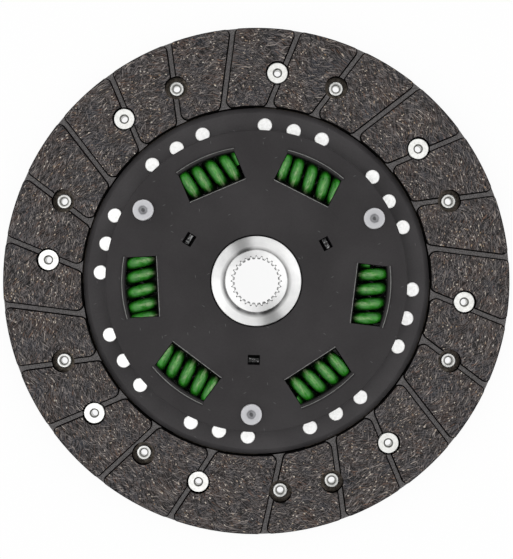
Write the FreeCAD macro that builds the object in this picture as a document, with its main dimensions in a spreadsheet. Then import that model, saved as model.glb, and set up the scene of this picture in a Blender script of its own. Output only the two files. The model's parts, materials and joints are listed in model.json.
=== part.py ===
import FreeCAD, Part
import os
import re
import Sketcher
from FreeCAD import Placement, Rotation, Vector

# A dry clutch disc with a sprung hub, lying flat on its rear facing.
# The disc's axis is Z, the middle of the rear friction face is the origin,
# and the side that faces the gearbox, with the longer boss, looks up along +Z.
# Angles run from +X towards +Y. Lengths are in millimetres, angles in degrees.

SIZES = {
    # Friction facings
    "facing_radius": 114.0,
    "facing_bore_radius": 78.6,
    "facing_thickness": 3.9,
    "cushion_height": 1.5,
    "facing_edge": 0.4,
    # Straight wear grooves, each set off to one side of the disc's centre
    "groove_width": 3.0,
    "groove_depth": 1.2,
    "groove_draft": 26.0,
    "groove_offset": 24.8,
    "groove_start_angle": -82.3,
    "groove_mouth_radius": 3.2,
    "groove_mouth_reach": 0.9,
    "groove_exit_radius": 2.4,
    "odd_groove_one_angle": 222.9,
    "odd_groove_one_offset": 17.3,
    "odd_groove_two_angle": 236.35,
    "odd_groove_two_offset": 26.5,
    "odd_groove_three_angle": 257.4,
    "odd_groove_three_offset": 27.9,
    # Tubular rivets that hold the facings, two for each cushion segment
    "facing_rivet_circle": 94.2,
    "front_rivet_angle": 39.2,
    "rear_rivet_angle": 22.5,
    "odd_front_rivet_angle": 253.9,
    "odd_rear_rivet_one_angle": 236.8,
    "odd_rear_rivet_one_circle": 92.9,
    "odd_rear_rivet_two_angle": 276.5,
    "odd_rear_rivet_two_circle": 95.4,
    "odd_rear_rivet_three_angle": 290.7,
    "odd_rear_rivet_three_circle": 96.5,
    "tube_head_radius": 4.75,
    "tube_head_height": 1.1,
    "tube_shank_radius": 2.6,
    "tube_bore_radius": 1.5,
    "tube_mouth_radius": 2.1,
    "tube_roll_radius": 3.45,
    "tube_roll_height": 1.2,
    "tube_edge": 0.25,
    "head_recess_depth": 2.2,
    "head_recess_gap": 0.55,
    "roll_hole_radius": 5.15,
    "rivet_clearance": 0.05,
    # Waved cushion segments of spring steel
    "sheet_thickness": 0.7,
    "segment_angle": 31.0,
    "foot_inner_radius": 65.8,
    "foot_half_angle": 14.6,
    "leaf_inner_radius": 80.4,
    "leaf_outer_radius": 112.4,
    "leaf_gap_angle": 1.2,
    "odd_gap_shift": 2.2,
    "wave_start_distance": 84.0,
    "wave_flat_half": 4.2,
    "outer_wave_distance": 28.5,
    # Drive plate
    "drive_thickness": 2.3,
    "rim_gap": 0.4,
    "rim_bevel_width": 2.2,
    "rim_edge_height": 1.0,
    # Solid rivets that join the segments to the drive plate, three for each
    "segment_rivet_circle": 70.3,
    "middle_rivet_inset": 0.6,
    "segment_rivet_spread": 10.85,
    "solid_head_radius": 3.25,
    "solid_head_height": 1.0,
    "solid_shank_radius": 2.0,
    "solid_tail_radius": 2.9,
    "solid_tail_height": 0.9,
    "solid_edge": 0.25,
    # Cover plate
    "cover_radius": 67.1,
    "cover_thickness": 2.2,
    "cover_bore_gap": 0.65,
    "cover_edge": 0.5,
    "slot_angle": 28.2,
    "slot_inner_radius": 32.8,
    "slot_outer_radius": 37.2,
    "slot_half_width": 2.7,
    # Raised lips over the springs
    "outer_lip_slope": 48.0,
    "outer_lip_rise": 1.0,
    "outer_lip_hold": 1.65,
    "inner_lip_slope": 23.0,
    "inner_lip_rise": 0.6,
    "inner_lip_hold": 1.7,
    "rear_outer_lip_ease": 2.5,
    "rear_inner_lip_ease": 1.6,
    # Torsion springs, in two sets of three
    "first_window_angle": 63.0,
    "second_window_angle": 113.0,
    "spring_circle": 51.2,
    "spring_drop": 1.2,
    "spring_length": 26.4,
    "coil_radius": 5.9,
    "wire_radius": 2.5,
    "coil_pitch": 6.65,
    "closed_pitch": 5.1,
    "closed_turns": 0.75,
    "seat_clearance": 0.3,
    "window_clearance": 0.3,
    "crest_one": 2.7,
    "crest_two": -0.6,
    "crest_three": -2.2,
    "crest_four": 1.5,
    "crest_five": 0.2,
    "crest_six": -2.6,
    # Stop pins
    "pin_circle": 59.15,
    "pin_angle": 27.9,
    "pin_head_radius": 4.65,
    "pin_head_height": 1.4,
    "pin_edge": 0.3,
    "pin_tenon_radius": 3.0,
    "pin_spacer_radius": 4.0,
    "pin_cup_radius": 2.3,
    "pin_cup_depth": 0.25,
    "pin_dimple_radius": 1.1,
    "pin_dimple_depth": 0.5,
    "pin_clearance": 0.05,
    # Hub
    "twist_range": 5.0,
    "stop_clearance": 0.3,
    "notch_floor_clearance": 0.6,
    "flange_radius": 64.4,
    "flange_thickness": 4.0,
    "flange_float": 0.2,
    "hub_ring_radius": 19.9,
    "hub_ring_proud": 0.95,
    "hub_ring_edge": 0.25,
    "boss_radius": 13.67,
    "boss_height": 6.5,
    "boss_edge": 0.3,
    "boss_fillet": 2.0,
    "hub_rear_radius": 15.5,
    "hub_rear_lift": 0.4,
    "hub_rear_edge": 0.8,
    "tooth_tip_radius": 10.0,
    "tooth_root_radius": 11.2,
    "root_half_width": 0.25,
    "tooth_slope": 30.0,
    "bore_edge": 0.4,
    # Friction rings, spring washer and centring bush
    "rear_ring_thickness": 0.7,
    "rear_ring_inner_radius": 23.0,
    "rear_ring_outer_radius": 34.0,
    "front_ring_thickness": 0.9,
    "front_ring_inner_radius": 21.2,
    "front_ring_outer_radius": 36.8,
    "tab_inner_radius": 34.25,
    "tab_outer_radius": 36.0,
    "tab_half_width": 2.3,
    "tab_sink": 0.5,
    "washer_height": 0.7,
    "washer_thickness": 0.45,
    "washer_inner_radius": 23.0,
    "washer_outer_radius": 31.0,
    "bush_clearance": 0.15,
    "bush_wall": 2.3,
    "bush_collar_width": 2.2,
    "bush_collar_thickness": 1.0,
    "bush_fit": 0.05,
}

# Counts that the forging and the punched plates are made to
SEGMENT_COUNT = 8
WINDOW_SETS = 3
TOOTH_COUNT = 28
GROOVE_COUNT = 24
FRONT_GROOVE_COUNT = 20

# Heights and radii that follow from the sizes
WORKED_OUT = {
    "mid_level": "facing_thickness + cushion_height / 2",
    "front_facing_base": "facing_thickness + cushion_height",
    "front_face": "front_facing_base + facing_thickness",
    "wave_rise": "(cushion_height - sheet_thickness) / 2",
    "drive_base": "mid_level + sheet_thickness / 2",
    "drive_top": "drive_base + drive_thickness",
    "drive_radius": "facing_bore_radius - rim_gap",
    "flange_base": "drive_top + rear_ring_thickness + flange_float",
    "flange_top": "flange_base + flange_thickness",
    "front_ring_base": "flange_top + flange_float",
    "front_ring_top": "front_ring_base + front_ring_thickness",
    "cover_base": "front_ring_top + washer_height",
    "cover_top": "cover_base + cover_thickness",
    "spring_level": "flange_base + flange_thickness / 2 - spring_drop",
    "spring_radius": "coil_radius + wire_radius",
    "window_half_width": "spring_length / 2 + seat_clearance",
    "spacer_length": "cover_base - drive_top",
    "hub_ring_top": "cover_top + hub_ring_proud",
    "boss_top": "hub_ring_top + boss_height",
    "tube_grip": "facing_thickness - head_recess_depth + sheet_thickness",
    "tube_hole_radius": "tube_shank_radius + rivet_clearance",
    "solid_hole_radius": "solid_shank_radius + rivet_clearance",
    "pin_hole_radius": "pin_tenon_radius + pin_clearance",
    "bush_bore_radius": "hub_rear_radius + bush_clearance",
    "bush_outer_radius": "bush_bore_radius + bush_wall",
    "drive_bore_radius": "bush_outer_radius + bush_fit",
    "cover_bore_radius": "hub_ring_radius + cover_bore_gap",
    "groove_pitch": f"360 / {GROOVE_COUNT}",
    "segment_pitch": f"360 / {SEGMENT_COUNT}",
    "window_pitch": f"360 / {WINDOW_SETS}",
    "closed_height": "closed_turns * closed_pitch",
    "open_height": "spring_length - 2 * closed_height",
}

doc = FreeCAD.newDocument("ClutchDisc")
sheet = doc.addObject("Spreadsheet::Sheet", "Sizes")
for row, (alias, number) in enumerate(SIZES.items(), start=1):
    sheet.set(f"A{row}", alias.replace("_", " "))
    sheet.set(f"B{row}", str(number))
    sheet.setAlias(f"B{row}", alias)
doc.recompute()


# Tying properties to the sheet

def full(text):
    """Spells out worked-out values and points each size's name at its cell."""
    def spell(match):
        word = match.group(0)
        if word in WORKED_OUT:
            return "(" + full(WORKED_OUT[word]) + ")"
        if word in SIZES:
            return "Sizes." + word
        return word
    return re.sub(r"[a-z][a-z_0-9]*", spell, text)


def value(text):
    return float(sheet.evalExpression(full(text)))


def bind(thing, name, text):
    thing.setExpression(name, full(text))


def at_angle(radius, angle):
    """A corner given by its distance from the disc's axis and its direction."""
    return (f"({radius}) * cos({angle})", f"({radius}) * sin({angle})")


# Bodies, sketches and features

def new_body(label, height="0", turn="0", several=False):
    body = doc.addObject("PartDesign::Body", label)
    body.AllowCompound = several
    bind(body, "Placement.Base.z", height)
    bind(body, "Placement.Rotation.Angle", turn)
    return body


def origin_feature(body, role):
    return next(item for item in body.Origin.OriginFeatures if item.Role == role)


def attached(body, name, role):
    sketch = body.newObject("Sketcher::SketchObject", name)
    sketch.AttachmentSupport = (origin_feature(body, role), [""])
    sketch.MapMode = "FlatFace"
    return sketch


def level_sketch(body, name, height="0", turn="0"):
    """A sketch that lies level, with its X turned about the disc's axis."""
    sketch = attached(body, name, "XY_Plane")
    bind(sketch, "AttachmentOffset.Base.z", height)
    bind(sketch, "AttachmentOffset.Rotation.Angle", turn)
    return sketch


def upright_sketch(body, name, turn="0"):
    """A sketch on a plane through the disc's axis: X runs outwards and Y runs up."""
    sketch = attached(body, name, "XZ_Plane")
    sketch.AttachmentOffset = Placement(Vector(), Rotation(Vector(0, 1, 0), 1))
    bind(sketch, "AttachmentOffset.Rotation.Angle", turn)
    return sketch


def cross_sketch(body, name, distance):
    """A sketch that faces outwards along X, at a distance from the axis."""
    sketch = attached(body, name, "YZ_Plane")
    bind(sketch, "AttachmentOffset.Base.z", distance)
    return sketch


def pin(sketch, edge, point, x=None, y=None):
    """Ties a point of an edge to its distances from the sketch's origin."""
    for direction, text in (("DistanceX", x), ("DistanceY", y)):
        if text is None:
            continue
        number = sketch.addConstraint(
            Sketcher.Constraint(direction, -1, 1, edge, point, value(text)))
        bind(sketch, f"Constraints[{number}]", text)


def outline(sketch, corners):
    """A closed outline. A corner is (x, y), or (x, y, centre, way) where the edge that
    leaves it is an arc about centre, way being "left" or "right" seen along it."""
    count = len(corners)
    spots = [Vector(value(corner[0]), value(corner[1]), 0) for corner in corners]
    first = sketch.GeometryCount
    starts = []
    for index, corner in enumerate(corners):
        begin, end = spots[index], spots[(index + 1) % count]
        if len(corner) == 2:
            sketch.addGeometry(Part.LineSegment(begin, end))
            starts.append((1, 2))
            continue
        centre = Vector(value(corner[2][0]), value(corner[2][1]), 0)
        low, high = (begin, end) if corner[3] == "left" else (end, begin)
        circle = Part.Circle(centre, Vector(0, 0, 1), (begin - centre).Length)
        sketch.addGeometry(
            Part.ArcOfCircle(circle, circle.parameter(low), circle.parameter(high)))
        starts.append((1, 2) if corner[3] == "left" else (2, 1))
    for index, corner in enumerate(corners):
        edge = first + index
        after = (index + 1) % count
        sketch.addConstraint(Sketcher.Constraint(
            "Coincident", edge, starts[index][1], first + after, starts[after][0]))
        if len(corner) > 2:
            pin(sketch, edge, 3, corner[2][0], corner[2][1])
        arriving = corners[index - 1]
        if len(arriving) == 2:
            pin(sketch, edge, starts[index][0], corner[0], corner[1])
            continue
        # An arc's end has one freedom left, along the arc
        centre = Vector(value(arriving[2][0]), value(arriving[2][1]), 0)
        spoke = spots[index] - centre
        if abs(spoke.x) > abs(spoke.y):
            pin(sketch, edge, starts[index][0], y=corner[1])
        else:
            pin(sketch, edge, starts[index][0], x=corner[0])


def circle(sketch, radius, x="0", y="0"):
    spot = Vector(value(x), value(y), 0)
    edge = sketch.addGeometry(Part.Circle(spot, Vector(0, 0, 1), value(radius)))
    pin(sketch, edge, 3, x, y)
    number = sketch.addConstraint(Sketcher.Constraint("Radius", edge, value(radius)))
    bind(sketch, f"Constraints[{number}]", radius)


def pad(body, sketch, length, down=False, both=False):
    feature = body.newObject("PartDesign::Pad", "Pad")
    feature.Profile = sketch
    bind(feature, "Length", length)
    feature.Reversed = down
    feature.Midplane = both
    return feature


def pocket(body, sketch, depth=None, up=False):
    """Cuts from the sketch downwards, or upwards, or both ways through everything."""
    feature = body.newObject("PartDesign::Pocket", "Pocket")
    feature.Profile = sketch
    if depth is None:
        feature.Type = "ThroughAll"
        feature.Midplane = True
    else:
        bind(feature, "Length", depth)
        feature.Reversed = up
    return feature


def revolve(body, sketch, axis="V_Axis", angle="360"):
    feature = body.newObject("PartDesign::Revolution", "Revolution")
    feature.Profile = sketch
    feature.ReferenceAxis = (sketch, [axis])
    bind(feature, "Angle", angle)
    feature.Midplane = True
    return feature


def repeat(body, features, count, span="360"):
    """Copies features about the disc's axis; a span of 360 closes the circle."""
    feature = body.newObject("PartDesign::PolarPattern", "PolarPattern")
    feature.Originals = features
    feature.Axis = (origin_feature(body, "Z_Axis"), [""])
    bind(feature, "Angle", span)
    feature.Occurrences = count
    body.Tip = feature
    return feature


# Where the facing rivets stand: an even row with its first angle and count,
# then the rivets that stand off the row

FRONT_ROW = {
    "start": "front_rivet_angle + 6 * segment_pitch",
    "count": SEGMENT_COUNT - 1,
    "odd": [("odd_front_rivet_angle", "facing_rivet_circle")],
}
REAR_ROW = {
    "start": "rear_rivet_angle + 7 * segment_pitch",
    "count": SEGMENT_COUNT - 2,
    "odd": [
        ("odd_rear_rivet_one_angle", "odd_rear_rivet_one_circle"),
        ("odd_rear_rivet_two_angle", "odd_rear_rivet_two_circle"),
        ("odd_rear_rivet_three_angle", "odd_rear_rivet_three_circle"),
    ],
}


def at_each_rivet(body, row, make):
    """Runs make(turn, circle) for the even row, repeats it, then for each odd rivet."""
    features = make(row["start"], "facing_rivet_circle")
    repeat(body, features, row["count"], f"({row['count']} - 1) * segment_pitch")
    for turn, circle_radius in row["odd"]:
        make(turn, circle_radius)


# Friction facings

def groove_flare(offset, sign, radius, reach, rim, beyond):
    """One rounded corner of a groove's end: its centre, where its arc touches the
    facing's rim, and a point beyond the rim."""
    middle = f"(({offset}) {sign} (groove_width / 2 + {radius}))"
    centre = (f"sqrt({reach}^2 - {middle}^2)", middle)
    touch = (f"{centre[0]} * {rim} / {reach}", f"{middle} * {rim} / {reach}")
    outside = (f"{centre[0]} * {beyond}", f"{middle} * {beyond}")
    return centre, touch, outside


def groove_outline(offset):
    """A straight groove along X, flared at the facing's bore and at its outer rim."""
    sides = []
    for sign in ("-", "+"):
        wall = f"({offset}) {sign} groove_width / 2"
        mouth = groove_flare(
            offset, sign, "groove_mouth_radius", "(facing_bore_radius + groove_mouth_radius)",
            "facing_bore_radius", "groove_mouth_reach")
        end = groove_flare(
            offset, sign, "groove_exit_radius", "(facing_radius - groove_exit_radius)",
            "facing_radius", "1 / groove_mouth_reach")
        sides.append((wall, mouth, end))
    (low_wall, low_mouth, low_end), (high_wall, high_mouth, high_end) = sides
    return [
        low_end[2],
        high_end[2],
        (high_end[1][0], high_end[1][1], high_end[0], "right"),
        (high_end[0][0], high_wall),
        (high_mouth[0][0], high_wall, high_mouth[0], "right"),
        high_mouth[1],
        high_mouth[2],
        low_mouth[2],
        (low_mouth[1][0], low_mouth[1][1], low_mouth[0], "right"),
        (low_mouth[0][0], low_wall),
        (low_end[0][0], low_wall, low_end[0], "right"),
        low_end[1],
    ]


def facing(label, height, front, head_row, roll_row):
    """One moulded lining, with its back at the given height."""
    body = new_body(label, height)
    away = "" if front else "-"
    face = f"{away}facing_thickness"
    edge = f"{away}(facing_thickness - facing_edge)"
    section = upright_sketch(body, "Section")
    outline(section, [
        ("facing_bore_radius", "0"),
        ("facing_radius", "0"),
        ("facing_radius", edge),
        ("facing_radius - facing_edge", face),
        ("facing_bore_radius + facing_edge", face),
        ("facing_bore_radius", edge),
    ])
    revolve(body, section)

    def groove(turn, offset):
        sketch = level_sketch(body, "Groove", face, turn)
        outline(sketch, groove_outline(offset))
        cut = pocket(body, sketch, "groove_depth", up=not front)
        bind(cut, "TaperAngle", "-groove_draft")
        return cut

    def head_hole(turn, circle_radius):
        recess = level_sketch(body, "HeadRecess", face, turn)
        circle(recess, "tube_head_radius + head_recess_gap", circle_radius)
        shank = level_sketch(body, "ShankHole", face, turn)
        circle(shank, "tube_hole_radius", circle_radius)
        return [
            pocket(body, recess, "head_recess_depth", up=not front),
            pocket(body, shank),
        ]

    def roll_hole(turn, circle_radius):
        sketch = level_sketch(body, "RollHole", face, turn)
        circle(sketch, "roll_hole_radius", circle_radius)
        return [pocket(body, sketch)]

    if front:
        row = groove("groove_start_angle", "groove_offset")
        repeat(body, [row], FRONT_GROOVE_COUNT, f"({FRONT_GROOVE_COUNT} - 1) * groove_pitch")
        for number in ("one", "two", "three"):
            groove(f"odd_groove_{number}_angle", f"odd_groove_{number}_offset")
    else:
        row = groove("groove_start_angle", "-groove_offset")
        repeat(body, [row], GROOVE_COUNT)
    at_each_rivet(body, head_row, head_hole)
    at_each_rivet(body, roll_row, roll_hole)
    return body


# Rivets

def tube_profile(circle_radius, front):
    """Half the section of a tubular rivet with its head's seat at height zero."""
    level = "" if front else "-1 * "
    straight = "tube_grip + tube_roll_height - (tube_roll_radius - tube_bore_radius) / 2"
    points = [
        ("tube_shank_radius", "0"),
        ("tube_head_radius", "0"),
        ("tube_head_radius", "tube_head_height - tube_edge"),
        ("tube_head_radius - tube_edge", "tube_head_height"),
        ("tube_mouth_radius", "tube_head_height"),
        ("tube_bore_radius", "tube_head_height - (tube_mouth_radius - tube_bore_radius)"),
        ("tube_bore_radius", f"-({straight})"),
        ("tube_roll_radius", f"-({straight})"),
        ("tube_roll_radius", "-tube_grip"),
        ("tube_shank_radius", "-tube_grip"),
    ]
    corners = [(f"{circle_radius} + {x}", f"{level}({y})") for x, y in points]
    roll_centre = (
        f"{circle_radius} + (tube_bore_radius + tube_roll_radius) / 2",
        f"{level}(-({straight}))",
    )
    corners[6] = corners[6] + (roll_centre, "left" if front else "right")
    return corners


def facing_rivets(label, height, front, row):
    body = new_body(label, height, several=True)

    def rivet(turn, circle_radius):
        sketch = upright_sketch(body, "RivetSection", turn)
        outline(sketch, tube_profile(circle_radius, front))
        add_turning_axis(sketch, circle_radius)
        return [revolve(body, sketch, "Axis0")]

    at_each_rivet(body, row, rivet)
    return body


def add_turning_axis(sketch, distance):
    """A construction line beside the section, for the rivet to be turned about."""
    spot = value(distance)
    edge = sketch.addGeometry(Part.LineSegment(Vector(spot, -1, 0), Vector(spot, 1, 0)), True)
    pin(sketch, edge, 1, distance, "-1")
    pin(sketch, edge, 2, distance, "1")


def segment_rivets():
    """Solid rivets through the drive plate and the segments' feet."""
    body = new_body("segment_rivets", "drive_base", several=True)
    profile = [
        ("0", "-sheet_thickness - solid_tail_height"),
        ("solid_tail_radius - solid_edge", "-sheet_thickness - solid_tail_height"),
        ("solid_tail_radius", "solid_edge - sheet_thickness - solid_tail_height"),
        ("solid_tail_radius", "-sheet_thickness"),
        ("solid_shank_radius", "-sheet_thickness"),
        ("solid_shank_radius", "drive_thickness"),
        ("solid_head_radius", "drive_thickness"),
        ("solid_head_radius", "drive_thickness + solid_head_height - solid_edge"),
        ("solid_head_radius - solid_edge", "drive_thickness + solid_head_height"),
        ("0", "drive_thickness + solid_head_height"),
    ]
    features = []
    for turn, circle_radius in segment_rivet_places():
        sketch = upright_sketch(body, "RivetSection", f"segment_angle + {turn}")
        outline(sketch, [(f"{circle_radius} + {x}", y) for x, y in profile])
        add_turning_axis(sketch, circle_radius)
        features.append(revolve(body, sketch, "Axis0"))
    repeat(body, features, SEGMENT_COUNT)
    return body


def segment_rivet_places():
    """The three rivets of a foot: angle from the segment's middle, and circle."""
    return [
        ("(-segment_rivet_spread)", "segment_rivet_circle"),
        ("0", "(segment_rivet_circle - middle_rivet_inset)"),
        ("segment_rivet_spread", "segment_rivet_circle"),
    ]


# Cushion segments

def wave_section(flats, raised):
    """The sheet's section across a leaf: flats of (middle, up or down) joined by ramps."""
    edge = "facing_radius / 2"
    line = [(f"-{edge}", flats[0][1])]
    for index, (middle, side) in enumerate(flats):
        if index > 0:
            line.append((f"{middle} - wave_flat_half", side))
        if index < len(flats) - 1:
            line.append((f"{middle} + wave_flat_half", side))
    line.append((edge, flats[-1][1]))
    rise = "wave_rise" if raised else "0"
    under = [(y, f"{side} * {rise} - sheet_thickness / 2") for y, side in line]
    over = [(y, f"{side} * {rise} + sheet_thickness / 2") for y, side in reversed(line)]
    return under + over


def leaf_outline(left_edge, right_edge):
    """A foot that is narrower than the leaf it carries."""
    centre = ("0", "0")
    return [
        at_angle("foot_inner_radius", "-foot_half_angle") + (centre, "left"),
        at_angle("foot_inner_radius", "foot_half_angle"),
        at_angle("leaf_inner_radius", "foot_half_angle") + (centre, "left"),
        at_angle("leaf_inner_radius", right_edge),
        at_angle("leaf_outer_radius", right_edge) + (centre, "right"),
        at_angle("leaf_outer_radius", left_edge),
        at_angle("leaf_inner_radius", left_edge) + (centre, "left"),
        at_angle("leaf_inner_radius", "-foot_half_angle"),
    ]


def segment_layout(number):
    """A segment's front rivets, rear rivets and edges, as angles from its middle."""
    turn = f"(segment_angle + {number - 1} * segment_pitch)"
    front = [("(front_rivet_angle - segment_angle)", "facing_rivet_circle")]
    rear = [("(rear_rivet_angle - segment_angle)", "facing_rivet_circle")]
    half = "(segment_pitch / 2 - leaf_gap_angle / 2)"
    left, right = f"-{half}", half
    if number == 6:
        front = [(f"(odd_front_rivet_angle - {turn})", "facing_rivet_circle")]
        rear = [
            (f"(odd_rear_rivet_one_angle - {turn})", "odd_rear_rivet_one_circle"),
            (f"(odd_rear_rivet_two_angle - {turn})", "odd_rear_rivet_two_circle"),
        ]
        right = f"({half} + odd_gap_shift)"
    if number == 7:
        rear = [(f"(odd_rear_rivet_three_angle - {turn})", "odd_rear_rivet_three_circle")]
        left = f"(odd_gap_shift - {half})"
    return turn, front, rear, left, right


def cushion_segment(number):
    turn, front, rear, left, right = segment_layout(number)
    body = new_body(f"cushion_segment_{number}", "mid_level", turn)

    # The sheet lies against the front facing at its rivets, and likewise at the rear
    flats = [(at_angle(circle_radius, angle)[1], "1") for angle, circle_radius in front]
    flats += [(at_angle(circle_radius, angle)[1], "-1") for angle, circle_radius in rear]
    if number != 6:
        flats += [("-outer_wave_distance", "1"), ("outer_wave_distance", "-1")]
    flats.sort(key=lambda flat: value(flat[0]))
    stations = [
        ("foot_inner_radius - 4 * sheet_thickness", False),
        ("facing_bore_radius", False),
        ("wave_start_distance", True),
        ("facing_radius", True),
    ]
    sections = []
    for distance, raised in stations:
        sketch = cross_sketch(body, "SheetSection", distance)
        outline(sketch, wave_section(flats, raised))
        sections.append(sketch)
    loft = body.newObject("PartDesign::AdditiveLoft", "Sheet")
    loft.Profile = sections[0]
    loft.Sections = sections[1:]
    loft.Ruled = True

    # Everything outside the outline is trimmed away
    trim = level_sketch(body, "Trim")
    outline(trim, [
        ("0", "-facing_radius"),
        ("2 * facing_radius", "-facing_radius"),
        ("2 * facing_radius", "facing_radius"),
        ("0", "facing_radius"),
    ])
    outline(trim, leaf_outline(left, right))
    pocket(body, trim)

    holes = level_sketch(body, "RivetHoles")
    for angle, circle_radius in front + rear:
        circle(holes, "tube_hole_radius", *at_angle(circle_radius, angle))
    for angle, circle_radius in segment_rivet_places():
        circle(holes, "solid_hole_radius", *at_angle(circle_radius, angle))
    pocket(body, holes)
    return body


# Plates with spring windows

def window_outline(inner, outer, half_width):
    """Straight sides and inner edge; the outer edge is an arc about the disc's axis."""
    far = f"sqrt(({outer})^2 - ({half_width})^2)"
    return [
        (inner, f"-({half_width})"),
        (far, f"-({half_width})", ("0", "0"), "left"),
        (far, half_width),
        (inner, half_width),
    ]


def lip_window(body, turn, thickness, front, outer_ease, inner_ease):
    """A punched window whose outer and inner edges are bent up over the spring.
    Front lips rise from the plate's top, rear lips hang from its underside."""
    def level(text):
        return text if front else f"{thickness} - ({text})"

    outer_tip = f"spring_circle + spring_radius - outer_lip_hold + {outer_ease}"
    outer_height = f"{thickness} + outer_lip_rise - {thickness} * cos(outer_lip_slope)"
    outer_crest = f"{outer_tip} + {thickness} * sin(outer_lip_slope)"
    outer_root = f"{outer_tip} + ({outer_height}) / tan(outer_lip_slope)"
    outer_back = f"{outer_crest} + outer_lip_rise / tan(outer_lip_slope)"
    inner_tip = f"spring_circle - spring_radius + inner_lip_hold - {inner_ease}"
    inner_height = f"{thickness} + inner_lip_rise - {thickness} * cos(inner_lip_slope)"
    inner_crest = f"{inner_tip} - {thickness} * sin(inner_lip_slope)"
    inner_root = f"{inner_tip} - ({inner_height}) / tan(inner_lip_slope)"
    inner_back = f"{inner_crest} - inner_lip_rise / tan(inner_lip_slope)"

    window = level_sketch(body, "Window", "0", turn)
    outline(window, window_outline(inner_root, outer_root, "window_half_width"))
    opening = pocket(body, window)

    outer_section = upright_sketch(body, "OuterLip", turn)
    outline(outer_section, [
        (outer_root, level("0")),
        (outer_back, level(thickness)),
        (outer_crest, level(f"{thickness} + outer_lip_rise")),
        (outer_tip, level(outer_height)),
    ])
    sweep = f"2 * asin(window_half_width / ({outer_tip}))"
    outer_lip = revolve(body, outer_section, angle=sweep)

    inner_section = upright_sketch(body, "InnerLip", turn)
    outline(inner_section, [
        (inner_root, level("0")),
        (inner_tip, level(inner_height)),
        (inner_crest, level(f"{thickness} + inner_lip_rise")),
        (inner_back, level(thickness)),
    ])
    inner_lip = pad(body, inner_section, "2 * window_half_width", both=True)
    return [opening, outer_lip, inner_lip]


def window_row(body, thickness, front, outer_ease="0", inner_ease="0"):
    features = []
    for turn in ("first_window_angle", "second_window_angle"):
        features += lip_window(body, turn, thickness, front, outer_ease, inner_ease)
    repeat(body, features, WINDOW_SETS)


def pin_holes(body):
    sketch = level_sketch(body, "PinHole", "0", "pin_angle")
    circle(sketch, "pin_hole_radius", "pin_circle")
    repeat(body, [pocket(body, sketch)], WINDOW_SETS)


def drive_plate():
    body = new_body("drive_plate", "drive_base")
    section = upright_sketch(body, "Section")
    outline(section, [
        ("drive_bore_radius", "0"),
        ("drive_radius", "0"),
        ("drive_radius", "rim_edge_height"),
        ("drive_radius - rim_bevel_width", "drive_thickness"),
        ("drive_bore_radius", "drive_thickness"),
    ])
    revolve(body, section)
    window_row(body, "drive_thickness", False, "rear_outer_lip_ease", "rear_inner_lip_ease")
    pin_holes(body)
    holes = level_sketch(body, "RivetHoles", "0", "segment_angle")
    for angle, circle_radius in segment_rivet_places():
        circle(holes, "solid_hole_radius", *at_angle(circle_radius, angle))
    repeat(body, [pocket(body, holes)], SEGMENT_COUNT)
    return body


def cover_plate():
    body = new_body("cover_plate", "cover_base")
    section = upright_sketch(body, "Section")
    outline(section, [
        ("cover_bore_radius", "0"),
        ("cover_radius", "0"),
        ("cover_radius", "cover_thickness - cover_edge"),
        ("cover_radius - cover_edge", "cover_thickness"),
        ("cover_bore_radius", "cover_thickness"),
    ])
    revolve(body, section)
    window_row(body, "cover_thickness", True)
    pin_holes(body)
    slot = level_sketch(body, "TabSlot", "0", "slot_angle")
    outline(slot, [
        ("slot_inner_radius", "-slot_half_width"),
        ("slot_outer_radius", "-slot_half_width"),
        ("slot_outer_radius", "slot_half_width"),
        ("slot_inner_radius", "slot_half_width"),
    ])
    repeat(body, [pocket(body, slot)], WINDOW_SETS)
    return body


# Hub

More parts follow.
